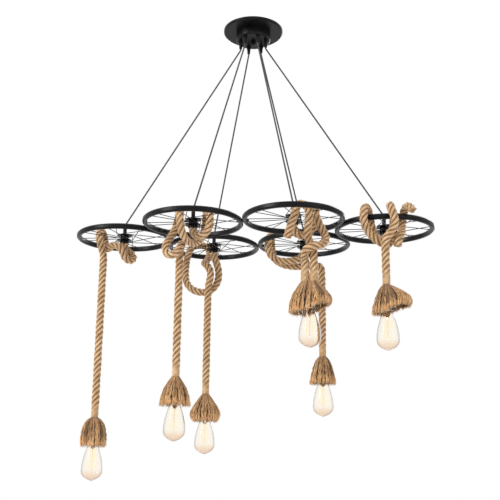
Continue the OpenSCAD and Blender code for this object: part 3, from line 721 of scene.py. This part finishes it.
@dataclass
class JuteRope:
    """One length of four-strand jute rope."""

    name: str
    number: int
    route: tuple[Point, ...]
    run: RopeRun
    bend_zone: tuple[float, float] = (0.015, -0.015)
    diameter: float = 0.024
    strands: int = 4
    lay: float = 0.066
    strand_r: float = 0.0058
    strand_out: float = 0.0062
    yarns: int = 18
    yarn_height: float = 0.0005
    corners: int = 72
    ring_gap: float = 0.0022
    hairs: int = 2600
    hair_length: tuple[float, float] = (0.003, 0.009)
    hair_width: float = 0.0003
    reach: float = 0.0168
    frayed: tuple[float, float] = (0.05, 0.015)
    loose_share: float = 0.85
    loose_r: float = 0.0106
    fluffy: float = 0.05
    end_bulge: float = 0.0025
    swells: tuple[tuple[float, float], ...] = ((0.02, 61.0), (0.015, 143.0))

    def hub(self) -> np.ndarray:
        """Middle of this rope's wheel."""
        low, high = (np.array(c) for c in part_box(f"rim_{self.number}"))
        return (low + high) / 2

    def tassel_top(self) -> float:
        """Height of the top of this rope's tassel."""
        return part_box(f"tassel_{self.number}")[1][2]

    def line(self) -> Line:
        """The rope's middle line, from where it leaves the construction or another rope.

        Returns:
            The line, with points closer than the mesh needs.
        """
        points = smooth_route(np.array(self.route, float) + self.hub(), 12)
        if self.run is not RopeRun.CUT_TO_CUT:
            foot = points[-1].copy()
            foot[2] = self.tassel_top()
            points = np.vstack([points, foot])
        line = evenly(points, self.ring_gap)
        if self.run is not RopeRun.HUB_TO_TASSEL:
            line = line[::-1]
        return Line(line)

    def radii(self, line: Line, lobes: np.ndarray, turns: np.ndarray) -> tuple[np.ndarray, np.ndarray]:
        """Distance of the skin from the middle line.

        Args:
            line: The rope's middle line.
            lobes: Angle of each corner from the first strand.
            turns: Angle of each corner round the line, a row for each ring.

        Returns:
            The radii, and the painted shade of each point.
        """
        part = 2 * math.pi / self.strands
        local = (lobes + part / 2) % part - part / 2
        out, r = self.strand_out, self.strand_r
        lobe = out * np.cos(local) + np.sqrt(r**2 - (out * np.sin(local)) ** 2)
        low, high = lobe.min(), lobe.max()
        along = line.along[:, None]
        drift = turns - 0.25 * 2 * math.pi * along / self.lay
        yarn = np.abs(np.sin(drift * self.yarns / 2))
        (long_rise, long_turn), (short_rise, short_turn) = self.swells
        slow = 1 + long_rise * np.sin(along * long_turn + self.number)
        slow = slow + short_rise * np.sin(along * short_turn)
        # Painted shade: points lie darker the deeper they sit between the strands and between the yarns; the
        # loose length above the tassel gets a lighter, even painted shade.
        crest = np.broadcast_to((lobe - low) / (high - low), turns.shape)
        radii = lobe[None] * slow + self.yarn_height * (yarn - 0.75)
        shade = np.clip(crest * 0.85 + yarn * 0.15, 0, 1)
        if self.run is not RopeRun.CUT_TO_CUT:
            to_tassel = line.length - line.along if self.run is RopeRun.HUB_TO_TASSEL else line.along
            loose = self.loose_share * smooth_step(to_tassel, *self.frayed)[:, None]
            radii = radii * (1 - loose) + (self.loose_r + 2 * self.yarn_height * (yarn - 0.75)) * loose
            shade = shade * (1 - loose) + (0.6 + 0.4 * yarn) * loose
        return radii, shade

    def end_cap(
        self, book: MeshBook, ring: np.ndarray, centre: np.ndarray, outward: np.ndarray, bulge: float
    ) -> None:
        """Close an end with rings that draw in to one point.

        Args:
            book: Where the faces go.
            ring: The last ring of the skin.
            centre: Middle of that ring.
            outward: Direction out of the rope's end.
            bulge: How far the end stands out.
        """
        corners = len(ring)
        rows = [centre + (ring - centre) * k + outward * bulge * (1 - k**2) for k in (1.0, 0.8, 0.5, 0.2)]
        points = np.vstack([*rows, centre + outward * bulge])
        turns = np.tile(np.linspace(0, 1, corners + 1), (4, 1))
        faces = grid_faces(4, corners)
        # Painted shade on the cut end: darker towards its middle.
        shade = np.repeat([0.8, 0.7, 0.45, 0.35], [corners, corners, corners, corners + 1])
        book.add(points, faces, grid_corners(np.array([0, 0.003, 0.006, 0.009]), turns), shade, 0)
        j = np.arange(corners)
        inner = 3 * corners
        book.close(np.stack([inner + j, inner + (j + 1) % corners, np.full(corners, 4 * corners)], axis=1), 0)

    def build(self, finishes: Finishes) -> bpy.types.Object:
        """Make the rope, with its fuzz, and tie it to the construction.

        Args:
            finishes: The chandelier's finishes.

        Returns:
            The rope's object.
        """
        line = self.line()
        rng = np.random.default_rng(100 + self.number * 10 + len(self.route))
        lobes = np.arange(self.corners) * 2 * math.pi / self.corners
        turns = lobes[None] + 2 * math.pi * line.along[:, None] / self.lay
        radii, shade = self.radii(line, lobes, turns)
        skin = line.ring(turns, radii)
        around = np.concatenate([turns, turns[:, :1] + 2 * math.pi], axis=1) / (2 * math.pi)
        book = MeshBook()
        faces = grid_faces(len(line.points), self.corners)
        book.add(skin.reshape(-1, 3), faces, grid_corners(line.along, around), shade.ravel(), 0)
        start_bulge = 0.0 if self.run is RopeRun.HUB_TO_TASSEL else self.end_bulge
        self.end_cap(book, skin[0][::-1], line.points[0], -line.tangents[0], start_bulge)
        self.end_cap(book, skin[-1], line.points[-1], line.tangents[-1], self.end_bulge)
        self.add_fuzz(book, line, skin, rng)
        rope = book.make(self.name, [finishes.rope, finishes.fuzz])
        self.tie(rope, line)
        return rope

    def add_fuzz(
        self, book: MeshBook, line: Line, skin: np.ndarray, rng: np.random.Generator
    ) -> None:
        """Add loose fibres that stand off the skin.

        Args:
            book: Where the faces go.
            line: The rope's middle line.
            skin: The skin's points, ring by ring.
            rng: Source of the fibres' places.
        """
        count = int(self.hairs * line.length)
        i = rng.integers(0, len(line.points), count)
        if self.run is RopeRun.HUB_TO_TASSEL:
            near = int(len(line.points) * self.fluffy / line.length)
            i = np.concatenate([i, rng.integers(3, near, count // 3)])
            count = len(i)
        j = rng.integers(0, self.corners, count)
        roots = skin[i, j]
        out = unit(roots - line.points[i])
        tangent = line.tangents[i]
        side = np.cross(tangent, out)
        sign = rng.choice([-1.0, 1.0], count)[:, None]
        each = (count, 1)
        lift = out * rng.uniform(0.35, 1.0, each)
        slope = tangent * sign * rng.uniform(0.3, 1.2, each)
        start = unit(lift + slope + side * rng.normal(0, 0.5, each))
        sway = side * rng.normal(0, 0.6, each)
        bend = unit(tangent * sign + sway + out * rng.uniform(-0.5, 0.2, each))
        length = rng.uniform(*self.hair_length, count)
        room = self.reach - np.linalg.norm(roots - line.points[i], axis=1)
        rise = np.maximum((start * out).sum(1) * 0.75, 0.05)
        length = np.minimum(length, room / rise)
        ribbons(book, roots - out * self.hair_width, start, bend, length, self.hair_width, 1)

    def tie(self, rope: bpy.types.Object, line: Line) -> None:
        """Tie a rope that runs between two cut ends to the frame, hide its construction nodes and log its
        length.

        Args:
            rope: The finished rope.
            line: Its middle line.
        """
        nodes = [f"rope_knot_{self.number}"]
        if self.run is RopeRun.CUT_TO_CUT:
            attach(rope, Body.FRAME.value)
        else:
            nodes.append(f"rope_drop_{self.number}")
            Body.PENDANT.of(self.number)
            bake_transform(rope)
        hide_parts(*nodes)
        LOG.info("%s: %.3f m of rope", self.name, line.length)


# Tassels

# Outlines of the tassels from the rope's end to the hem: share of the hem's radius, share of the height
Outline = tuple[tuple[float, float], ...]
BELL: Outline = (
    (0.21, 0), (0.31, 0.08), (0.46, 0.19), (0.62, 0.32), (0.76, 0.47), (0.9, 0.72), (0.98, 0.97),
)
BARREL: Outline = (
    (0.24, 0), (0.5, 0.07), (0.72, 0.22), (0.84, 0.42), (0.9, 0.65), (0.92, 0.82), (0.88, 0.98),
)
DOME: Outline = (
    (0.2, 0), (0.34, 0.1), (0.58, 0.3), (0.82, 0.52), (0.95, 0.7), (0.93, 0.86), (0.78, 0.98),
)
STRAIGHT: Outline = (
    (0.24, 0), (0.42, 0.08), (0.58, 0.2), (0.7, 0.38), (0.8, 0.58), (0.89, 0.78), (0.97, 0.98),
)
PAIRED: Outline = (
    (0.4, 0), (0.5, 0.1), (0.62, 0.22), (0.76, 0.38), (0.87, 0.55), (0.95, 0.76), (0.96, 1.03),
)
PAIRED_LIFTED: Outline = (
    (0.4, 0), (0.52, 0.1), (0.68, 0.22), (0.88, 0.36), (1.02, 0.5), (1.06, 0.62), (0.98, 0.75),
)
SLIM: Outline = (
    (0.17, 0), (0.27, 0.07), (0.39, 0.18), (0.5, 0.36), (0.6, 0.56), (0.68, 0.76), (0.74, 0.96),
)
SLIM_LIFTED: Outline = (
    (0.17, 0), (0.34, 0.07), (0.62, 0.17), (0.93, 0.3), (1.14, 0.44), (1.2, 0.57), (1.12, 0.7),
)


@dataclass
class Tassel:
    """Frayed end of a rope that hides a lamp holder: locks of jute yarn over an inner layer darkened by
    painted shade.
    """

    number: int
    hanging: Outline
    lifted: Outline | None = None
    locks: int = 42
    lock_yarns: int = 2
    inner_yarns: int = 88
    yarn_r: tuple[float, float] = (0.0012, 0.0019)
    lock_gap: float = 0.0025
    inner_depth: tuple[float, float] = (0.0028, 0.006)
    # Lightness of the inner layer: painted shade of the yarns that lie under the locks.
    inner_painted_shade: tuple[float, float] = (0.12, 0.4)
    wander: float = 0.07
    uneven: float = 0.0035
    yarn_uneven: float = 0.002
    lock_tones: tuple[float, ...] = (0.38, 0.6, 0.85, 1.0)
    lock_depth: float = 0.0016
    side_depth: float = 0.0007
    fine_gap: float = 0.0004
    rings: int = 24
    sides: int = 6
    crimp: tuple[float, float] = (0.0003, 0.001)
    crimp_length: tuple[float, float] = (0.014, 0.03)
    slim_top: float = 0.82
    fuller_hem: float = 0.3
    knobs: tuple[float, float] = (0.08, 37.0)
    holder_gap: float = 0.0006
    shell_over_cap: float = 0.0205
    fringe: int = 6
    strays: int = 2
    fringe_length: tuple[float, float] = (0.002, 0.0085)
    fringe_width: float = 0.0004
    gather: float = 0.35
    # Painted bulb light on the hem: where it starts along a yarn, and how strongly it lifts the shade towards
    # the amber crest colour.
    painted_light_from: float = 0.7
    painted_light_share: float = 0.7
    # Painted shade: darker on the face of a yarn that turns inward and down, and darker towards the tassel's
    # top.
    painted_side_shade: float = 0.22
    painted_top_shade: float = 0.28

    def __post_init__(self) -> None:
        """Take the tassel's place and sizes from its construction node."""
        low, high = (np.array(c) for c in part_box(f"tassel_{self.number}"))
        self.axis = (low[:2] + high[:2]) / 2
        self.top = high[2]
        self.height = high[2] - low[2]
        self.hem_r = (high[0] - low[0]) / 2
        low, high = (np.array(c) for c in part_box(f"lamp_holder_{self.number}"))
        self.holder_r = (high[0] - low[0]) / 2
        self.shell_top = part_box(f"bulb_cap_{self.number}")[1][2] + self.shell_over_cap

    def azimuth(self, turn: float) -> float:
        """Direction of a yarn at a share of a turn, with the yarns closer where the hem is lifted."""
        angle = 2 * math.pi * turn
        return angle - self.gather * math.sin(angle) if self.lifted else angle

    def outline(self, azimuth: float) -> np.ndarray:
        """Radius and depth under the rope's end of the outer yarns at one side.

        Args:
            azimuth: Direction of that side from the tassel's axis.

        Returns:
            Rows of radius and depth.
        """
        shape = np.array(self.hanging, float)
        if self.lifted:
            towards = smooth_step(math.cos(azimuth), -0.2, 0.85)
            shape = shape + (np.array(self.lifted, float) - shape) * towards
        return shape * (self.hem_r, self.height)

    def build(self, finishes: Finishes) -> bpy.types.Object:
        """Make the bundle of yarns.

        Args:
            finishes: The chandelier's finishes.

        Returns:
            The tassel's object.
        """
        rng = np.random.default_rng(500 + self.number)
        book = MeshBook()
        for index in range(self.locks):
            self.add_lock(book, index, rng)
        for index in range(self.inner_yarns):
            azimuth = self.azimuth((index + rng.uniform(-0.4, 0.4)) / self.inner_yarns)
            # The inner layer's lightness is painted shade.
            deep, tone_and_painted_shade = rng.uniform(*self.inner_depth), rng.uniform(*self.inner_painted_shade)
            self.add_yarn(book, azimuth, deep, 0, tone_and_painted_shade, rng.normal(0, 0.1), rng)
        tassel = book.make(f"tassel_yarns_{self.number}", [finishes.yarn, finishes.fuzz])
        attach(tassel, Body.PENDANT.of(self.number))
        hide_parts(f"tassel_{self.number}")
        LOG.info("%s: %d locks of yarn", tassel.name, self.locks)
        return tassel

    def add_lock(self, book: MeshBook, index: int, rng: np.random.Generator) -> None:
        """Add one lock: a few yarns that run side by side.

        Args:
            book: Where the faces go.
            index: Number of the lock round the tassel.
            rng: Source of the lock's own bends.
        """
        azimuth = self.azimuth((index + rng.uniform(-0.3, 0.3)) / self.locks)
        drift = rng.normal(0, self.wander)
        tone_and_painted_shade = rng.choice(self.lock_tones)
        shorter = rng.uniform(0, self.uneven)
        deep = rng.uniform(0, self.lock_depth)
        for k in range(self.lock_yarns):
            aside = (k - (self.lock_yarns - 1) / 2) * self.lock_gap / (0.8 * self.hem_r)
            off_middle = abs(2 * k - self.lock_yarns + 1) / max(self.lock_yarns - 1, 1)
            ends_above = shorter + rng.uniform(0, self.yarn_uneven)
            self.add_yarn(
                book, azimuth + aside, deep + self.side_depth * off_middle, ends_above,
                tone_and_painted_shade * rng.uniform(0.8, 1.0), drift + rng.normal(0, 0.02), rng,
            )

    def add_yarn(
        self, book: MeshBook, azimuth: float, deep: float, shorter: float, tone_and_painted_shade: float, drift: float,
        rng: np.random.Generator,
    ) -> None:
        """Add one yarn, with the loose fibres at its end.

        Args:
            book: Where the faces go.
            azimuth: Side of the tassel on which it starts.
            deep: How far it lies inside the tassel's outline.
            shorter: How much it ends above the hem.
            tone_and_painted_shade: Its lightness from 0 to 1, random for the outer locks and painted shade
                for the inner layer.
            drift: Turn about the tassel's axis from its start to its end.
            rng: Source of the yarn's own bends.
        """
        profile = self.outline(azimuth + drift)
        flat = np.stack([profile[:, 0], np.zeros(len(profile)), self.top - 0.001 - profile[:, 1]], axis=1)
        fine = evenly(smooth_route(flat, 8), self.fine_gap)
        fine = fine[: max(len(fine) - int(shorter / self.fine_gap), 20)]
        path = fine[np.linspace(0, len(fine) - 1, self.rings).round().astype(int)]
        share = np.linspace(0, 1, self.rings)
        length = self.fine_gap * len(fine) * share
        phase = rng.uniform(0, 2 * math.pi)
        pitch = rng.uniform(*self.crimp_length)
        wave = rng.uniform(*self.crimp) * np.clip(share * 2, 0, 1)
        bend = wave * np.sin(2 * math.pi * length / pitch + phase)
        r = path[:, 0] - deep * np.clip(0.35 + share * 2, 0, 1) + bend
        fuller = self.slim_top + self.fuller_hem * np.clip(share * 1.5, 0, 1)
        knob, knob_turns = self.knobs
        thick = rng.uniform(*self.yarn_r) * fuller * (1 + knob * np.sin(knob_turns * share + phase))
        inner = self.holder_r + self.holder_gap + thick
        r = np.where(path[:, 2] < self.shell_top, np.maximum(r, inner), r)
        across = 1.4 * wave * np.sin(2 * math.pi * length / (pitch * 1.23) + 2 * phase)
        angle = azimuth + drift * share + across / np.maximum(r, 0.01)
        way = np.stack([np.cos(angle), np.sin(angle)], axis=1)
        points = np.column_stack([self.axis + r[:, None] * way, path[:, 2]])
        line = Line(points)
        turns = np.arange(self.sides) * 2 * math.pi / self.sides + 9 * share[:, None]
        skin = line.ring(turns, np.broadcast_to(thick[:, None], turns.shape))
        around = np.concatenate([turns, turns[:, :1] + 2 * math.pi], axis=1) / (2 * math.pi) + azimuth * 5
        # Painted shade on each yarn: darker on its inward, downward face and towards the tassel's top.
        off = skin - points[:, None]
        side = off @ np.array([0, 0, 0.2]) + (off[..., :2] * way[:, None]).sum(-1)
        shade = tone_and_painted_shade * (1 - self.painted_side_shade + self.painted_side_shade * np.clip(side / thick[:, None], -1, 1))
        shade = shade * (1 - self.painted_top_shade + self.painted_top_shade * share[:, None])
        # Painted bulb light: the lower yarn lifts towards the amber crest colour.
        painted_bulb_light = self.painted_light_share * smooth_step(share, self.painted_light_from, 0.95)[:, None]
        shade = np.clip(shade, 0, 0.9) * (1 - painted_bulb_light) + painted_bulb_light
        corners = grid_corners(line.along + azimuth * 3, around)
        book.add(skin.reshape(-1, 3), grid_faces(self.rings, self.sides), corners, shade.ravel(), 0)
        self.close_end(book, skin[-1], line.points[-1] + line.tangents[-1] * 0.001, 0.9)
        self.add_fringe(book, line, thick, rng)

    def close_end(self, book: MeshBook, ring: np.ndarray, tip: np.ndarray, shade: float) -> None:
        """Close a yarn's lower end with a point.

        Args:
            book: Where the faces go.
            ring: The yarn's last ring.
            tip: The closing point.
            shade: Shade of these points.
        """
        j = np.arange(self.sides)
        faces = np.stack([j, (j + 1) % self.sides, np.full(self.sides, self.sides)], axis=1)
        shades = np.full(self.sides + 1, shade)
        book.add(np.vstack([ring, tip]), faces, np.zeros((self.sides * 3, 2)), shades, 0)

    def add_fringe(self, book: MeshBook, line: Line, thick: np.ndarray, rng: np.random.Generator) -> None:
        """Add the fibres that fray at a yarn's end and a few along it.

        Args:
            book: Where the faces go.
            line: The yarn's middle line.
            thick: The yarn's radius at each place.
            rng: Source of the fibres' places.
        """
        ends = np.full(self.fringe, len(line.points) - 1)
        i = np.concatenate([ends, rng.integers(6, len(line.points) - 1, self.strays)])
        count = len(i)
        angle = rng.uniform(0, 2 * math.pi, count)[:, None]
        out = line.sides[i] * np.cos(angle) + line.ups[i] * np.sin(angle)
        tangent = line.tangents[i]
        spread = np.where(i == len(line.points) - 1, 0.5, 0.7)[:, None]
        start = unit(tangent + out * spread)
        bend = unit(tangent * 0.6 + out * rng.normal(0, 0.8, (count, 1)) + np.array([0, 0, -0.4]))
        length = rng.uniform(*self.fringe_length, count)
        roots = line.points[i] + out * thick[i][:, None] * 0.7
        ribbons(book, roots, start, bend, length, self.fringe_width, 1)


# Bulbs


def only(obj: bpy.types.Object) -> None:
    """Select one object alone and make it active.

    Args:
        obj: The object.
    """
    bpy.ops.object.select_all(action="DESELECT")
    obj.select_set(True)
    bpy.context.view_layer.objects.active = obj


def turned(
    name: str, profile: list[tuple[float, float]], corners: int, material: bpy.types.Material
) -> bpy.types.Object:
    """Turn a piece about Z, ring by ring, as on a lathe.

    Args:
        name: Name of the object.
        profile: Radius and height of each ring. A radius of zero closes the last ring.
        corners: Corners of each ring.
        material: The piece's finish.

    Returns:
        The object, open at its first ring.
    """
    bpy.ops.object.select_all(action="DESELECT")
    radius, height = profile[0]
    bpy.ops.mesh.primitive_circle_add(vertices=corners, radius=radius, location=(0, 0, height))
    obj = bpy.context.object
    obj.name = name
    bpy.ops.object.transform_apply(location=True)
    bpy.ops.object.mode_set(mode="EDIT")
    bpy.ops.mesh.select_all(action="SELECT")
    for next_radius, next_height in profile[1:]:
        bpy.ops.mesh.extrude_region_move(TRANSFORM_OT_translate={"value": (0, 0, next_height - height)})
        if next_radius == 0:
            bpy.ops.mesh.merge(type="CENTER")
        else:
            factor = next_radius / radius
            bpy.ops.transform.resize(value=(factor, factor, 1), center_override=(0, 0, next_height))
        radius, height = next_radius, next_height
    bpy.ops.mesh.select_all(action="SELECT")
    bpy.ops.mesh.normals_make_consistent(inside=False)
    bpy.ops.object.mode_set(mode="OBJECT")
    obj.data.materials.append(material)
    bpy.ops.object.shade_smooth_by_angle(angle=math.radians(50))
    return obj


@dataclass
class Bulb:
    """Drop-shaped bulb: blown glass, screw cap, glass stem and caged filament, built once and copied."""

    cap_r: float = 0.0132
    cap_h: float = 0.027
    thread: tuple[float, float] = (-0.007, 0.0036)
    thread_depth: float = 0.0006
    glass_r: float = 0.032
    height: float = 0.14
    wall: float = 0.001
    seat: float = 0.00012
    neck_h: float = 0.002
    belly_at: float = 0.785
    foot_at: float = 0.935
    # Span, in shares of the glass's height, over which the painted reflection of the filament's glow comes
    # in.
    painted_bulb_light: tuple[float, float] = (0.74, 0.92)
    stem_r: float = 0.0085
    upper_z: float = -0.046
    lower_z: float = -0.106
    upper_r: float = 0.007
    lower_r: float = 0.011
    legs: int = 9
    round_share: float = 0.97
    wire_r: float = 0.0003

    def glass(self, finishes: Finishes) -> bpy.types.Object:
        """Blow the glass from its neck down to the drawn tip.

        Args:
            finishes: The chandelier's finishes.

        Returns:
            The glass, with its wall.
        """
        belly = -self.height * self.belly_at
        pull = -self.height * self.foot_at
        flare = -self.cap_h - self.seat - self.neck_h
        profile = [(self.cap_r, -self.cap_h - self.seat)]
        for t in np.linspace(0, 1, 15):
            radius = self.cap_r + (self.glass_r - self.cap_r) * math.sin(math.pi * t / 2)
            profile.append((radius, flare + (belly - flare) * t))
        for t in np.linspace(0.08, 0.96, 12):
            height = (1 - t) ** 2 * belly + 2 * t * (1 - t) * pull - t**2 * self.height
            profile.append((self.glass_r * (1 - t**2), height))
        profile.append((0, -self.height))
        glass = turned("bulb_glass", profile, 64, finishes.glass)
        only(glass)
        solid = glass.modifiers.new("wall", "SOLIDIFY")
        solid.thickness = self.wall
        solid.offset = -1
        bpy.ops.object.modifier_apply(modifier=solid.name)
        # Painted reflection of the filament's glow, laid as the foot attribute: peach towards the tip.
        heights = np.array([v.co.z for v in glass.data.vertices])
        foot = glass.data.attributes.new("foot", "FLOAT", "POINT")
        foot.data.foreach_set("value", smooth_step(-heights / self.height, *self.painted_bulb_light).astype(np.float32))
        return glass

    def cap(self, finishes: Finishes) -> bpy.types.Object:
        """Turn the screw cap with its rounded thread and its contact.

        Args:
            finishes: The chandelier's finishes.

        Returns:
            The cap.
        """
        inner = self.cap_r - self.thread_depth
        top, pitch = self.thread
        profile = [(0.0022, 0.0), (0.0048, -0.0004), (0.005, -0.002), (0.009, -0.004)]
        profile.append((self.cap_r - 0.001, -0.0062))
        for i in range(20):
            profile.append((inner + self.thread_depth * math.cos(math.pi * i / 2), top - pitch * i / 4))
        profile += [(self.cap_r, -self.cap_h + 0.001), (self.cap_r, -self.cap_h)]
        profile.append((self.cap_r - 0.001, -self.cap_h))
        return turned("bulb_cap", profile, 48, finishes.by_slot["brass"])

    def stem(self, finishes: Finishes) -> bpy.types.Object:
        """Turn the glass stem that carries the filament.

        Args:
            finishes: The chandelier's finishes.

        Returns:
            The stem.
        """
        profile = [
            (self.stem_r + 0.0025, -self.cap_h - 0.001), (self.stem_r, -self.cap_h - 0.006),
            (self.stem_r - 0.001, -self.cap_h - 0.014), (0.004, -self.cap_h - 0.019),
            (0.0018, -self.cap_h - 0.023), (0.0014, self.lower_z + 0.004), (0.0022, self.lower_z),
            (0.0012, self.lower_z - 0.0025), (0, self.lower_z - 0.003),
        ]
        return turned("bulb_stem", profile, 24, finishes.stem_glass)

    def filament(self, finishes: Finishes) -> bpy.types.Object:
        """Bend the filament wire up and down between its two rings of hooks.

        Args:
            finishes: The chandelier's finishes.

        Returns:
            The wire as a mesh.
        """
        curve = bpy.data.curves.new("bulb_filament", "CURVE")
        curve.dimensions = "3D"
        curve.bevel_depth = self.wire_r
        curve.bevel_resolution = 1
        spline = curve.splines.new("POLY")
        spline.points.add(2 * self.legs)
        for i in range(2 * self.legs + 1):
            low = i % 2 == 1
            r, z = (self.lower_r, self.lower_z) if low else (self.upper_r, self.upper_z)
            angle = math.pi * i / self.legs * self.round_share
            spline.points[i].co = (r * math.cos(angle), r * math.sin(angle), z, 1)
        wire = bpy.data.objects.new("bulb_filament", curve)
        bpy.context.scene.collection.objects.link(wire)
        only(wire)
        bpy.ops.object.convert(target="MESH")
        wire = bpy.context.object
        wire.data.materials.clear()
        wire.data.materials.append(finishes.filament)
        return wire

    def place(self, masters: dict[str, bpy.types.Object]) -> None:
        """Copy every piece of the bulb to each lamp.

        Args:
            masters: The pieces by the name that their copies get.
        """
        for number in range(1, 7):
            low, high = (np.array(c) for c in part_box(f"bulb_cap_{number}"))
            middle = (low + high) / 2
            shift = Matrix.Translation((middle[0], middle[1], high[2]))
            for kind, master in masters.items():
                piece = master.copy()
                piece.data = master.data.copy()
                piece.name = f"bulb_{kind}_{number}_lit"
                piece.data.transform(shift)
                bpy.context.scene.collection.objects.link(piece)
                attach(piece, Body.BULB.of(number))
                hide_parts(f"bulb_glass_{number}" if kind == "glass" else f"bulb_cap_{number}")
        for master in masters.values():
            bpy.data.objects.remove(master)

    def build(self, finishes: Finishes) -> None:
        """Build one bulb and copy it to the six lamps.

        Args:
            finishes: The chandelier's finishes.
        """
        self.place({
            "glass": self.glass(finishes), "cap": self.cap(finishes),
            "stem": self.stem(finishes), "filament": self.filament(finishes),
        })
        LOG.info("six bulbs")


# Room


def stand(right: np.ndarray, up: np.ndarray, back: np.ndarray, place: Point) -> Matrix:
    """Work out where a camera or lamp stands.

    Args:
        right: Direction to its right.
        up: Direction to its top.
        back: Direction away from what it faces.
        place: Its place.

    Returns:
        Its matrix.
    """
    return Matrix([*np.column_stack([right, up, back, place]).tolist(), [0, 0, 0, 1]])


@dataclass(frozen=True)
class PhotoCamera:
    """Camera at the photograph's viewing angle."""

    place: Point = (0.41315, -2.44893, -1.3805)
    azimuth_deg: float = -9.64
    pitch_deg: float = 14.21
    roll_deg: float = 0.66
    focal_px: float = 824.28
    frame_px: float = 500.0
    sensor_mm: float = 36.0

    def build(self) -> None:
        """Add the camera and make it the scene's own."""
        azimuth, pitch, roll = (math.radians(a) for a in (self.azimuth_deg, self.pitch_deg, self.roll_deg))
        level = math.cos(pitch)
        ahead = np.array([math.sin(azimuth) * level, math.cos(azimuth) * level, math.sin(pitch)])
        right = np.array([math.cos(azimuth), -math.sin(azimuth), 0])
        up = np.cross(right, ahead)
        side = right * math.cos(roll) + up * math.sin(roll)
        top = -right * math.sin(roll) + up * math.cos(roll)
        data = bpy.data.cameras.new("photo_camera")
        data.sensor_width = self.sensor_mm
        data.lens = self.focal_px / self.frame_px * self.sensor_mm
        camera = bpy.data.objects.new("photo_camera", data)
        camera.matrix_world = stand(side, top, -ahead, self.place)
        bpy.context.scene.collection.objects.link(camera)
        bpy.context.scene.camera = camera


@dataclass
class Studio:
    """White room with a pale floor and soft lamps round the chandelier."""

    floor_z: float = -2.1
    floor_size: float = 5.0
    daylight: float = 0.8
    middle: Point = (0.0, 0.0, -0.8)

    def floor(self) -> None:
        """Lay the pale floor."""
        bpy.ops.object.select_all(action="DESELECT")
        bpy.ops.mesh.primitive_plane_add(size=self.floor_size, location=(0, 0, self.floor_z))
        floor = bpy.context.object
        floor.name = "floor"
        shader = Shader("pale floor")
        shader.surface(Base_Color=(0.93, 0.93, 0.93, 1), Roughness=0.9)
        floor.data.materials.append(shader.material)

    def world(self) -> None:
        """Set the white surroundings and the soft light that they give."""
        world = bpy.data.worlds.new("white room")
        nodes = NodeTree(world)
        rays = nodes.add("LightPath").outputs
        mirrored = nodes.add(
            "Math", {0: rays["Is Glossy Ray"], 1: rays["Is Transmission Ray"]}, operation="MAXIMUM"
        )
        seen = nodes.add(
            "Math", {0: rays["Is Camera Ray"], 1: mirrored.outputs[0]}, operation="ADD", use_clamp=True
        )
        level = nodes.add("MapRange", {"Value": seen.outputs[0], "To Min": self.daylight, "To Max": 1.0})
        white = nodes.add("Background", {"Color": (1, 1, 1, 1), "Strength": level.outputs[0]})
        nodes.add("OutputWorld", {"Surface": white.outputs[0]})
        bpy.context.scene.world = world

    def lamp(self, name: str, place: Point, size: float, watts: float) -> None:
        """Hang one soft square lamp that faces the chandelier.

        Args:
            name: Name of the lamp.
            place: Where it hangs.
            size: Its width.
            watts: Its power.
        """
        data = bpy.data.lights.new(name, "AREA")
        data.size = size
        data.energy = watts
        lamp = bpy.data.objects.new(name, data)
        back = unit(np.array(place) - np.array(self.middle))
        right = unit(np.cross((0, 0, 1), back))
        lamp.matrix_world = stand(right, np.cross(back, right), back, place)
        bpy.context.scene.collection.objects.link(lamp)

    def build(self) -> None:
        """Build the room."""
        self.floor()
        self.world()
        self.lamp("key", (-2.4, -2.4, 0.7), 1.3, 78)
        self.lamp("fill", (2.8, -2.2, -0.6), 1.8, 20)
        self.lamp("back", (0.6, 2.8, 0.6), 1.6, 30)
        bpy.context.scene.view_settings.view_transform = "Standard"


def dress_construction(finishes: Finishes) -> None:
    """Give every construction node its finish.

    Args:
        finishes: The chandelier's finishes.
    """
    for part in frame["record"]["subparts"]:
        obj = frame["nodes"][part["node"]]
        finish = finishes.by_slot[part["material_slot"]]
        if not obj.data.materials:
            obj.data.materials.append(finish)
        for i in range(len(obj.material_slots)):
            obj.material_slots[i].material = finish


def main() -> None:
    """Build the whole scene, piece by piece."""
    logging.basicConfig(level=logging.INFO, format="%(message)s")
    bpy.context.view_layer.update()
    finishes = Finishes()
    PhotoCamera().build()
    paired = {"bend_zone": (0.015, -0.025), "loose_r": 0.0124}
    ropes = (
        JuteRope("rope_1", 1, ROUTE_1, RopeRun.HUB_TO_TASSEL, bend_zone=(-0.008, -0.04)),
        JuteRope("rope_2", 2, ROUTE_2, RopeRun.HUB_TO_TASSEL, bend_zone=(0.006, -0.02)),
        JuteRope("rope_3", 3, ROUTE_3, RopeRun.HUB_TO_TASSEL, bend_zone=(0.009, -0.016)),
        JuteRope("rope_4", 4, ROUTE_4, RopeRun.HUB_TO_TASSEL, **paired),
        JuteRope("rope_4_tail", 4, ROUTE_4_TAIL, RopeRun.CUT_TO_TASSEL, **paired),
        JuteRope("rope_5", 5, ROUTE_5, RopeRun.HUB_TO_TASSEL, bend_zone=(0.013, -0.014)),
        JuteRope("rope_6", 6, ROUTE_6, RopeRun.HUB_TO_TASSEL),
        JuteRope("rope_6_tail", 6, ROUTE_6_TAIL, RopeRun.CUT_TO_CUT),
    )
    for rope in ropes:
        rope.build(finishes)
    tassels = (
        Tassel(1, BARREL, locks=38),
        Tassel(2, BELL),
        Tassel(3, DOME, locks=44),
        Tassel(4, PAIRED, PAIRED_LIFTED, locks=64, inner_yarns=130),
        Tassel(5, STRAIGHT, locks=38),
        Tassel(6, SLIM, SLIM_LIFTED, locks=64, inner_yarns=130),
    )
    for tassel in tassels:
        tassel.build(finishes)
    Bulb().build(finishes)
    dress_construction(finishes)
    Studio().build()


if __name__ == "__main__":
    main()
